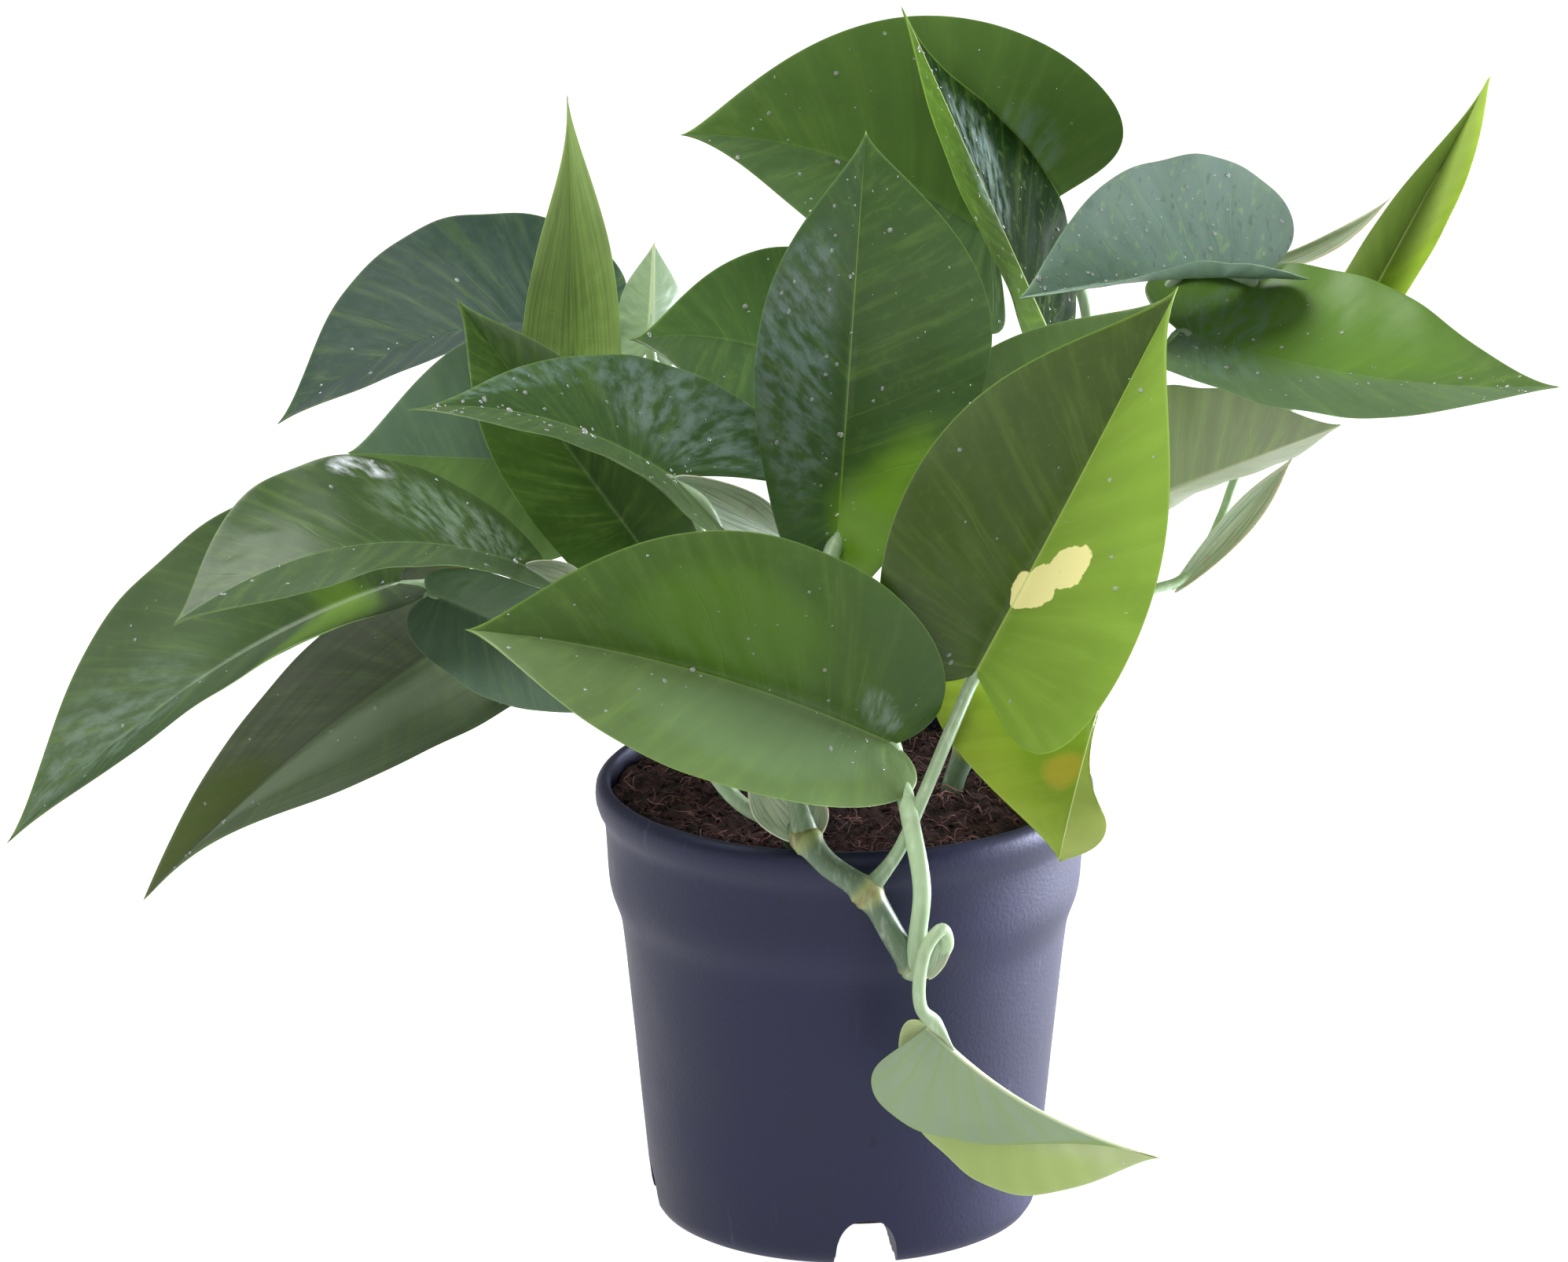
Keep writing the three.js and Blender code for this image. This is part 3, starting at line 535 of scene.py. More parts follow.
BLADES = {
    "front": blade(
        base=(12, -48, 142), tip=(-96, -72, 180), face=(0, -0.86, 0.51), half=(44, 45), fold=30,
        bow=(0, -2, 6), lobe=(0, 0.02), belly=(0.42, 0.48),
    ),
    "cream": blade(
        base=(33, -42, 159), tip=(84, -30, 258), face=(-0.1, -0.97, 0.2), half=(41, 46), fold=25,
        bow=(0, -3, 0), lobe=(0.03, 0.02), belly=(0.31, 0.42), taper=(1.8, 1.5),
    ),
    "yellow": blade(
        base=(71, -14, 158), tip=(54, -62, 115), face=(-0.5, -0.6, 0.6), half=(45, 18), fold=(30, 12),
        bow=(0, -4, 6), belly=(0.48, 0.9),
    ),
    "top": blade(
        base=(40, 60, 246), tip=(-43, 42, 279), face=(0, -0.95, 0.3), half=(54, 28), fold=15,
        bow=(0, 0, 8), lobe=(0.03, 0.1), belly=(0.29, 0.3),
    ),
    "crest": blade(
        base=(55, 30, 225), tip=(14, 20, 319), face=(0.8, -0.55, 0.2), half=(32, 28), fold=(-20, 15),
        lobe=(0, 0.02), taper=(2.2, 1.5),
    ),
    "gray": blade(
        base=(107, 35, 243), tip=(44, 5, 245), face=(0, -0.6, 0.8), half=(32, 24), fold=(38, 44),
        bow=(0, 0, 2), belly=(0.43, 0.43),
    ),
    "centre": blade(
        base=(-2, -12, 187), tip=(5, -8, 293), face=(-0.1, -0.98, 0.1), half=(44, 27), fold=20,
        bow=(0, -4, 0), belly=(0.57, 0.5),
    ),
    "sheen": blade(
        base=(-44, -25, 206), tip=(-111, -50, 231), face=(-0.1, -0.5, 0.86), half=(27, 26), fold=18,
        bow=(0, 0, 7), lobe=(0.3, 0.3), belly=(0.25, 0.3), taper=(2.2, 1.5),
    ),
    "behind": blade(
        base=(-69, 26, 195), tip=(-129, 8, 203), face=(-0.1, -0.95, 0.3), half=(33, 28), fold=0,
        lobe=(0, 0.1), belly=(0.42, 0.4),
    ),
    "dark": blade(
        base=(-52, 0, 179), tip=(-101, 25, 240), face=(0.1, -0.95, 0.1), half=(26, 26), fold=35,
    ),
    "left": blade(
        base=(-82, -30, 184), tip=(-170, -70, 180), face=(-0.2, -0.35, 0.9), half=(27, 28), fold=(20, 5),
        bow=(0, 0, 13), lobe=(0.02, 0.05), belly=(0.52, 0.5),
    ),
    "farleft": blade(
        base=(-115, -16, 175), tip=(-215, -45, 114), face=(-0.4, -0.5, 0.75), half=(34, 32),
        fold=(30, 22), bow=(-2, 0, 8), lobe=(0.04, 0), belly=(0.37, 0.37),
    ),
    "lowleft": blade(
        base=(-99, -3, 157), tip=(-181, -34, 95), face=(-0.3, -0.85, 0.5), half=(23, 42), fold=25,
        bow=(0, 0, 5), belly=(0.22, 0.27), taper=(1, 2.7),
    ),
    "under": blade(
        base=(-106, -36, 178), tip=(-47, -49, 150), face=(0, -0.75, 0.65), half=(24, 12), fold=10,
        bow=(0, 0, 2), lobe=(0, 0), belly=(0.4, 0.4),
    ),
    "backleft": blade(
        base=(-70, 84, 216), tip=(-150, 62, 195), face=(-0.3, -0.4, 0.9), half=(34, 34), fold=15,
        bow=(0, 0, 10), belly=(0.4, 0.4),
    ),
    "spear": blade(
        base=(-71, 47, 216), tip=(-72, 42, 290), face=(0, -1, 0.1), half=(19, 20), fold=35,
        lobe=(0.05, 0.05), belly=(0.26, 0.2), taper=(1.6, 2.4),
    ),
    "pale": blade(
        base=(-51, 52, 219), tip=(-50, 66, 244), face=(0, 0.9, 0.4), half=(12, 12), fold=30,
    ),
    "midback": blade(
        base=(-3, 40, 214), tip=(-56, 20, 230), face=(0, -0.8, 0.6), half=(30, 40), fold=20,
        bow=(0, 0, 5), belly=(0.33, 0.38), taper=(1.9, 1.5),
    ),
    "right": blade(
        base=(87, 18, 233), tip=(184, 0, 223), face=(0, -0.24, 0.97), half=(38, 34), fold=(0, 5),
        bow=(0, 0, -5), lobe=(0, 0.1), belly=(0.25, 0.42),
    ),
    "pink": blade(
        base=(74, 5, 190), tip=(128, 0, 213), face=(0, 0.8, 0.6), half=(27, 27), fold=20,
    ),
    "upright": blade(
        base=(134, 59, 222), tip=(169, 63, 290), face=(-0.2, -0.9, 0.35), half=(21, 24), fold=(45, 66),
        belly=(0.48, 0.26), taper=(1.3, 2.2),
    ),
    "shade": blade(
        base=(38, -2, 181), tip=(82, 0, 247), face=(-0.2, -0.95, 0.2), half=(10, 35), fold=12,
        bow=(0, 0, 2), lobe=(0, 0.1), belly=(0.36, 0.36),
    ),
    "rear_right": blade(
        base=(46, 50, 180), tip=(88, 128, 150), face=(0.2, 0.2, 0.95), half=(32, 32), fold=15,
        bow=(0, 0, 10),
    ),
    "rear_mid": blade(
        base=(0, 62, 186), tip=(-8, 148, 168), face=(0, 0.1, 1), half=(28, 28), fold=20, bow=(0, 0, 10),
    ),
    "hanging": blade(
        base=(20.7, -78, 76.5), tip=(80, -84, 43), face=(-0.5, 0, -0.87), half=(28, 23), fold=(66, 72),
        bow=(-3, 0, -4), lobe=(0.02, -0.03), belly=(0.5, 0.19), taper=(1.5, 2.7),
    ),
}
print("blades:", len(BLADES))

# %% [markdown]
# ## The shape of a blade
#
# A blade could be modelled by hand and bent with curves, but then no two views of it could be measured. Here
# it is a net with two parameters: s runs from 0 at the joint to 1 at the tip, and r from -1 at one margin,
# through 0 on the midrib, to 1 at the other. Lines of equal s sweep forward from the midrib to the margin,
# as the side veins of a real blade do, so veins need no drawing: they are ripples in s.


# %% Blade formula
CURL, WAVE = 12.0, 1.5  # degrees and millimetres, at the widest place of the margin
LEAN_PEAK = 0.143  # s (1 - s)^6 is largest at 1 / 7, where it is 1 / LEAN
LEAN = 17.6


def blade_net(spec, s, r, wave=WAVE, seed=0):
    """Points, normals and flat distances of a blade.
    Midrib: a straight span plus bow times 4 t (1 - t). Half width: s to the power w b / (1 - b), times
    (1 - s) to the power w, scaled to 1 at the belly b, where w is the taper. The margin leans back by
    s (1 - s)^6, scaled so that it reaches the lobe's length behind the joint. Each half is raised by the
    fold plus the curl times the share of the width, and its margin waves as a sum of sines."""
    side, r = np.where(r < 0, -1.0, 1.0), np.abs(r)
    pairs = (spec[key] for key in ("half", "lobe", "belly", "taper"))
    half, lobe, belly, taper = (np.where(side > 0, *pair) for pair in pairs)
    fold = np.where(side > 0, np.ravel(spec["fold"])[0], np.ravel(spec["fold"])[-1])
    power = taper * belly / (1 - belly)
    widest = belly**power * (1 - belly) ** taper
    out = r * half * s**power * (1 - s) ** taper / widest
    back = LEAN * (lobe + LEAN_PEAK) * s * (1 - s) ** 6
    t = ((1 - r) * s * s + r * (s - back))[..., None]
    base, bow = np.array(spec["base"], float), np.array(spec["bow"], float)
    span = np.array(spec["tip"], float) - base
    tangent = unit(span + bow * (4 - 8 * t))
    across = unit(np.cross(tangent, spec["face"]))
    normal = np.cross(across, tangent)
    turn = np.radians(fold * ease(r, -0.12, 0.12) + CURL * out / half)[..., None]
    phases = np.random.default_rng(seed).uniform(0, 6.28, 4)
    ripple = np.sin(7 * t[..., 0] + side) + 0.35 * np.sin(17 * t[..., 0] + phases[0] + side * phases[1])
    ripple += 0.2 * np.sin(31 * t[..., 0] + phases[2] + side * phases[3])
    lie, out, side = (wave * ripple * (out / half) ** 2)[..., None], out[..., None], side[..., None]
    points = base + span * t + bow * 4 * t * (1 - t) + across * side * out * np.cos(turn)
    points = points + normal * (out * np.sin(turn) + lie)
    facing = unit(normal * np.cos(turn) - across * side * np.sin(turn))
    return points, facing, out[..., 0]


# %% Blade with its thickness
ROWS, COLUMNS = 96, 65
VEINS = 12
SKIN, QUILT, GROOVE = 0.28, 0.2, 0.25  # half the thickness, the rise between veins, the dip at the midrib


def blade_piece(
    name, spec, finish, slot, seed, stands_for=(), rows=ROWS, columns=COLUMNS, wave=WAVE, relief=1.0
):
    """The upper and lower skins of a blade, closed at the margin. The upper skin dips along the midrib and is
    quilted faintly between the side veins; the lower skin carries the midrib as a rounded rib."""
    s = (np.linspace(0, 1, rows) ** 1.12)[:, None] * np.ones(columns)
    r = np.sin(np.linspace(-1, 1, columns) * np.pi / 2) * np.ones((rows, 1))
    points, facing, out = blade_net(spec, s, r, wave=wave, seed=seed)
    width = np.maximum(np.abs(np.where(r < 0, out[:, :1], out[:, -1:])), 1e-6)
    body = SKIN * np.sqrt(np.clip(1 - np.abs(r) ** 10, 0, 1)) * np.sqrt(np.clip(s * (1 - s) * 60, 0, 1))
    inside = ease(np.abs(out), 0.8, 6) * (1 - np.abs(r) ** 6) * ease(s, 0, 0.08) * (1 - ease(s, 0.9, 1))
    wander = 0.015 * np.sin(9 * s + seed) + 0.01 * np.sin(14 * np.abs(r) + 2 * seed)
    quilt = QUILT * relief * inside * np.abs(np.sin(np.pi * VEINS * (s + wander))) ** 0.8
    midrib = relief * np.exp(-((out / 0.8) ** 2)) * ease(s, 0, 0.02) * (1 - s) ** 0.7
    upper = points + facing * (body + quilt - GROOVE * midrib)[..., None]
    lower = points - facing * (body - quilt * 0.8 + midrib * (1 - s))[..., None]
    quads = net_quads(rows, columns)
    both = np.concatenate([upper.reshape(-1, 3), lower.reshape(-1, 3)])
    uv = np.stack([0.5 + 0.5 * r, s], axis=-1).reshape(-1, 2)
    values = {
        "out": np.tile(np.abs(out).ravel(), 2),
        "edge": np.tile(((1 - np.abs(r)) * width).ravel(), 2),
        "under": np.repeat([0.0, 1.0], out.size),
    }
    faces = np.concatenate([quads, quads[:, ::-1] + out.size])
    return make_piece(name, both, faces, finish, stands_for, values, np.concatenate([uv, uv]))


print("blade net:", ROWS, "by", COLUMNS)

# %% [markdown]
# ## The finish of a blade
#
# Leaves of one plant differ: old ones are deep green and glossy, young ones yellow-green. So each blade has
# its own colours for its two halves, its midrib and its underside. The two halves also carry painted light
# and
# shade: the half of a folded blade that faces the light is painted lighter, the half turned away darker, and
# a blade that faces the sky is painted blue-grey by its reflection. On them lie the patterns that all share:
# wide soft bands and fine faint veins that sweep to the margin, a soft mottle, and a thin lighter midrib and
# margin, the margin's pale line partly a painted rim highlight. A few blades have patches, given by their
# place
# on the blade: soft ones of younger or older tissue, soft ones of painted light, one crisp cream one, and
# streaked ones of painted sheen, pale blue-grey streaks where the wax throws back the sky. All of it is mixed
# from noise in the shader: a painted texture would look the same from near, but it couldn't be read or
# changed as numbers.


# %% Blade colours
def look(plus, minus, rib, under, *patches, **strengths):
    """The looks of a blade: picture values of red, green and blue for its plus half, its minus half, its
    midrib and its lower side, then its patches, each as (kind, r, s, half width in r, half length in s,
    colour, strength). plain is how plain the midrib is, veins how plain the side veins are, strokes how plain
    the dark streaks along the blade, flecks how plain its small flecks, rim how plain its pale margin, gloss
    the roughness of the wax, and shine how much light the wax throws back."""
    return {"plus": plus, "minus": minus, "rib": rib, "under": under, "patches": patches, **strengths}


# The colours of each blade's two halves hold its own colour and painted light and shade together: the half
# that faces the light is lighter, the half turned away darker, and blades that face the sky, as gray and
# backleft do, are painted blue-grey with its reflection. The streaked patches are painted sheen, and the soft
# patches marked below are painted light.
LOOKS = {
    "front": look(
        (64, 96, 20), (94, 116, 70), (150, 175, 110), (120, 145, 95),
        ("soft", 0.4, 0.58, 0.4, 0.2, (84, 124, 26), 0.6),
        ("soft", 0.75, 0.14, 0.5, 0.2, (50, 78, 34), 0.6),
        ("painted_sheen", 0.2, 0.2, 0.16, 0.1, (140, 160, 150), 0.5),
        # Painted sheen: a pale grey veil on the lower half, which faces the sky.
        ("soft", -0.35, 0.45, 0.4, 0.3, (108, 132, 96), 0.5),
        rim=0.6, veins=0.7,
    ),
    "cream": look(
        # Painted light and shade: the plus half, which faces the light, lighter, the minus half darker.
        (121, 152, 56), (62, 85, 22), (168, 192, 84), (150, 175, 90),
        ("crisp", 0.1, 0.475, 0.17, 0.06, (228, 222, 152), 1),
        ("crisp", 0.27, 0.51, 0.17, 0.05, (228, 222, 152), 1),
        plain=0.6, rim=0.9,
    ),
    "yellow": look(
        (130, 152, 42), (160, 172, 96), (225, 230, 190), (170, 180, 80),
        ("soft", 0.2, 0.8, 0.24, 0.05, (206, 158, 66), 0.45),
        plain=0.8,
    ),
    "top": look(
        (91, 124, 57), (74, 100, 57), (100, 136, 66), (110, 140, 90),
        ("painted_sheen", 0.5, 0.26, 0.2, 0.1, (120, 146, 130), 0.5),
    ),
    "crest": look(
        # Painted shade: the plus half is darkened as though in shade, though the lamp at the right lights it.
        (16, 40, 6), (64, 92, 22), (190, 205, 140), (120, 150, 90),
        ("painted_sheen", 0.3, 0.68, 0.5, 0.16, (140, 162, 154), 0.75),
        plain=0.8, gloss=0.5, shine=0.12, flecks=0.3, rim=0.8,
    ),
    "gray": look(
        # Painted sheen: its blue-grey halves stand partly for the sky that the upturned blade reflects.
        (120, 143, 131), (134, 160, 144), (140, 164, 140), (108, 130, 116),
        ("soft", 0.1, 0.86, 0.8, 0.2, (92, 116, 96), 0.5),
        veins=0.4, flecks=0.7,
    ),
    "centre": look(
        (57, 83, 40), (67, 94, 56), (130, 168, 60), (110, 140, 90),
        ("painted_sheen", -0.6, 0.54, 0.5, 0.28, (122, 142, 140), 0.75),
        # Painted light: the lower right, lit through the blade, with the edge of a shadow above it.
        ("soft", 0.45, 0.14, 0.7, 0.32, (112, 152, 40), 0.9),
        plain=0.5, gloss=0.3,
    ),
    "sheen": look(
        (60, 86, 46), (71, 92, 58), (130, 158, 96), (120, 145, 100),
        ("painted_sheen", 0.6, 0.27, 0.5, 0.2, (122, 142, 134), 0.7),
        ("painted_sheen", 0.85, 0.6, 0.2, 0.34, (112, 136, 126), 0.6),
        gloss=0.28,
    ),
    "behind": look((94, 119, 94), (95, 124, 66), (120, 150, 90), (130, 155, 110)),
    "dark": look((65, 90, 45), (52, 78, 28), (76, 104, 56), (100, 130, 80), veins=0.4),
    "left": look(
        (62, 84, 46), (70, 89, 60), (120, 150, 90), (120, 150, 100),
        # Painted highlight: a white glint where the blade bends over at its top.
        ("painted_sheen", 0.85, 0.47, 0.13, 0.06, (226, 234, 238), 1),
        ("painted_sheen", 0.36, 0.34, 0.45, 0.22, (132, 152, 132), 0.6),
        gloss=0.28,
    ),
    "farleft": look(
        (70, 92, 54), (58, 76, 50), (104, 130, 76), (120, 150, 90),
        ("soft", -0.45, 0.34, 0.7, 0.14, (112, 148, 48), 0.75),
        ("painted_sheen", 0.2, 0.84, 0.9, 0.2, (112, 132, 118), 0.6),
    ),
    "lowleft": look(
        (98, 105, 86), (117, 130, 105), (104, 122, 74), (130, 150, 110),
        ("soft", 0.3, 0.08, 0.8, 0.2, (88, 102, 44), 0.85),
        ("soft", 0.6, 0.84, 0.7, 0.16, (80, 96, 40), 0.85),
        # Painted light: a pale grey strip where the blade is lit.
        ("soft", -0.34, 0.66, 0.3, 0.34, (136, 148, 128), 0.85),
        veins=0.6, strokes=0.55,
    ),
    "under": look((87, 107, 90), (96, 121, 91), (90, 116, 80), (110, 140, 100)),
    "backleft": look(
        (46, 66, 54), (66, 78, 74), (60, 80, 62), (130, 150, 120),
        ("painted_sheen", 0.5, 0.5, 0.6, 0.45, (66, 84, 80), 0.3),
        veins=1.2, gloss=0.5, shine=0.4,
    ),
    "spear": look((140, 168, 92), (158, 184, 112), (90, 120, 60), (140, 165, 100), veins=0.3, strokes=0.9),
    "pale": look((140, 164, 124), (92, 110, 88), (190, 200, 160), (128, 150, 118)),
    "midback": look((78, 110, 56), (60, 83, 47), (96, 126, 62), (120, 145, 90)),
    "right": look(
        (90, 114, 78), (78, 106, 50), (108, 140, 72), (140, 160, 110),
        ("soft", -0.5, 0.45, 0.8, 0.4, (92, 130, 40), 0.55),
        ("painted_sheen", -0.1, 0.28, 0.8, 0.16, (104, 132, 112), 0.6),
        gloss=0.3,
    ),
    "pink": look((148, 162, 124), (84, 91, 77), (160, 164, 136), (122, 130, 104)),
    "upright": look(
        (152, 182, 60), (144, 168, 90), (210, 222, 150), (150, 180, 90),
        ("soft", 0.3, 0.75, 0.6, 0.3, (140, 162, 84), 0.7),
        plain=0.7,
    ),
    "shade": look((84, 110, 60), (96, 121, 74), (110, 130, 80), (120, 140, 100)),
    "rear_right": look((76, 106, 48), (70, 100, 46), (110, 140, 70), (120, 150, 90)),
    "rear_mid": look((76, 106, 48), (70, 100, 46), (110, 140, 70), (120, 150, 90)),
    "hanging": look(
        (170, 184, 130), (118, 135, 102), (212, 220, 180), (138, 157, 127),
        ("soft", 0.8, 0.6, 0.4, 0.3, (152, 176, 84), 0.6),
        ("soft", -0.4, 0.3, 0.6, 0.12, (136, 156, 132), 0.7),
        ("soft", -0.85, 0.25, 0.12, 0.3, (150, 170, 136), 0.8),
        plain=0.8, veins=1.5, rim=1,
    ),
}
YOUNG = {"cream", "yellow", "spear", "pale", "pink", "upright"}

# %% Patterns of a blade
# For each kind of patch: how wide its fading border is, how far noise pushes it, and the scale of that noise.
# The last kind is painted sheen: pale blue-grey streaks where the waxy blade throws back the sky or a lamp.
PATCHES = {"soft": (0.8, 0.35, 60), "crisp": (0.06, 0.9, 150), "painted_sheen": (0.8, 0.5, 80)}
DEEP, FRESH = (22, 42, 20), (150, 182, 84)


def patch_share(leaf, r, s, kind, patch_r, patch_s, wide, long, strength):
    """How strongly a patch shows: full inside an ellipse in r and s whose border noise has pushed about. A
    patch of painted sheen is broken up besides into streaks that follow the side veins, as a reflection on
    wax would be."""
    border, push, scale = PATCHES[kind]
    x = leaf.compute("DIVIDE", leaf.compute("SUBTRACT", r, patch_r), wide)
    y = leaf.compute("DIVIDE", leaf.compute("SUBTRACT", s, patch_s), long)
    reach = leaf.times_plus(x, x, leaf.times(y, y))
    noise = leaf.compute("SUBTRACT", leaf.noise(leaf.place(), scale, 3), 0.5)
    reach = leaf.times_plus(noise, 2 * push, reach)
    share = leaf.ease(reach, 1 - border, 1 + 0.4 * border, strength, 0)
    if kind == "painted_sheen":
        streaks = leaf.noise(leaf.stretched(leaf.uv(), (9, 34, 1), (0.3, 0.1, 0)), 1.0, 4, 0.6)
        share = leaf.times(share, leaf.ease(streaks, 0.36, 0.68))
    return share


def vein_lines(leaf, s, away, shift):
    """Side veins: the distance of s from a whole number of steps, as the size of a sine, with s pushed a
    little by noise so that no two veins run alike. Gives soft bands between them, and thin lines that fade
    outwards."""
    wander = leaf.noise(leaf.stretched(leaf.uv(), (2.2, 5, 1), shift), 1.0, 3)
    turns = leaf.times(leaf.times_plus(wander, 0.07, s), math.pi * VEINS)
    band = leaf.compute("ABSOLUTE", leaf.compute("SINE", turns))
    patchy = leaf.noise(leaf.stretched(leaf.uv(), (3, 9, 1), shift), 1.0, 2)
    line = leaf.times(leaf.ease(band, 0.0, 0.16, 1, 0), leaf.ease(patchy, 0.35, 0.7, 0.15, 1))
    return band, leaf.times(line, leaf.ease(away, 0.5, 0.98, 1, 0))


# %% Blade finish
def leaf_finish(
    name, plus, minus, rib, under, patches=(), plain=0.3, veins=1.0, strokes=0.0, flecks=0.0, rim=0.3,
    gloss=0.36, shine=1.0, seed=0
):
    """A leaf's material: its halves under clouds, bands, streaks, mottle, veins, strokes, flecks, patches,
    the midrib and the margin, in that order, and its underside."""
    leaf = Finish(
        f"leaf_{name}", Coat_Weight=0.12 * shine, Coat_Roughness=0.22, Specular_IOR_Level=0.2 * shine
    )
    split = leaf.node("ShaderNodeSeparateXYZ", Vector=leaf.uv())
    r, s = leaf.times_plus(split.outputs["X"], 2.0, -1.0), split.outputs["Y"]
    away, out, edge = leaf.compute("ABSOLUTE", r), leaf.stored("out"), leaf.stored("edge")
    where, shift = leaf.place(), (seed * 3.7, seed * 1.3, 0)
    band, line = vein_lines(leaf, s, away, shift)
    cloud = leaf.noise(leaf.stretched(where, (1, 1, 1), shift), 22, 3, 0.5)
    streak = leaf.noise(leaf.stretched(leaf.uv(), (2, 34, 1), shift), 1.0, 4, 0.6)
    mottle = leaf.noise(where, 330, 3, 0.6)
    # The pale margin is partly a painted rim highlight, where light catches the edge of the blade.
    margin = leaf.ease(edge, 0.1, 0.5, rim, 0)
    ribbed = leaf.compute("DIVIDE", out, leaf.times_plus(s, -0.7, 1.0))

    # The halves' colours are partly painted light and shade: the half facing the light lighter, the other
    # darker.
    halves = leaf.mix(leaf.ease(r, -0.015, 0.015), srgb(*minus), srgb(*plus))
    fresh, deep = leaf.mix(0.35, halves, srgb(*FRESH)), leaf.mix(0.4, halves, srgb(*DEEP))
    layers = [
        (leaf.ease(cloud, 0.38, 0.68, 0, 0.45), deep),
        (leaf.ease(band, 0.2, 1.0, 0, 0.16 * veins), deep),
        (leaf.ease(streak, 0.45, 0.75, 0, 0.32), fresh),
        (leaf.ease(mottle, 0.5, 0.8, 0, 0.16), fresh),
        (leaf.times(line, 0.2 * veins), fresh),
    ]
    if strokes:
        lengthwise = leaf.noise(leaf.stretched(leaf.uv(), (30, 1.8, 1), shift), 1.0, 4, 0.6)
        layers.append((leaf.ease(lengthwise, 0.42, 0.66, 0, strokes), deep))
    if flecks:
        grains = leaf.noise(leaf.stretched(where, (1, 1, 0.6), shift), 420, 2, 0.5)
        layers.append((leaf.ease(grains, 0.6, 0.7, 0, flecks), deep))
        layers.append((leaf.ease(grains, 0.32, 0.4, flecks, 0), fresh))
    for *lie, tint, strength in patches:
        layers.append((patch_share(leaf, r, s, *lie, strength), srgb(*tint)))
    layers += [(leaf.ease(ribbed, 0.1, 0.6, plain, 0), srgb(*rib)), (margin, fresh)]
    upper = leaf.layered(halves, *layers)
    lower = leaf.layered(
        srgb(*under),
        (leaf.ease(cloud, 0.35, 0.65, 0, 0.25), deep),
        (leaf.ease(band, 0.9, 0.1, 0, 0.18 * veins), fresh),
        (leaf.times(line, 0.4 * veins), fresh),
        (margin, fresh),
        (leaf.ease(streak, 0.4, 0.75, 0, 0.3), fresh),
        (leaf.ease(ribbed, 0.4, 1.6, 0.7, 0), srgb(*rib)),
    )
    colour = leaf.mix(leaf.stored("under"), upper, lower)

    height = leaf.times_plus(streak, 0.6, leaf.times(mottle, 0.4))
    leaf.bump(leaf.times_plus(line, -0.5, height), 0.2, 0.0006)
    wax = leaf.times_plus(cloud, 0.2, gloss - 0.1)
    return leaf.done(colour, leaf.times_plus(leaf.stored("under"), 0.18, wax))


# %% Blades
for number, (name, spec) in enumerate(BLADES.items()):
    finish = leaf_finish(name, **LOOKS[name], seed=number)
    slot = "young_leaf" if name in YOUNG else "leaf"
    piece = blade_piece(f"blade_{name}", spec, finish, slot, number, [f"leaf_{name}"])
print("blades made:", len(BLADES), "with", len(piece.data.polygons), "faces each")

# %% [markdown]
# ## The vines and petioles
#
# A vine's stem is a jointed cane, with a swollen ring at each node. A petiole leaves its node through a short
# sheath, runs up as a slim rod with a shallow groove, and ends in a small swelling that slips under the
# blade's base. Curves with a bevel would give round rods of one thickness. Here a ring of points is carried
# along a smooth line through the given points, with a radius that changes on the way.
#
# Some sheaths stay on as papery leaves of their own, pale and half dry. They come last in this section, from
# the blade formula with smooth margins and no lobes.

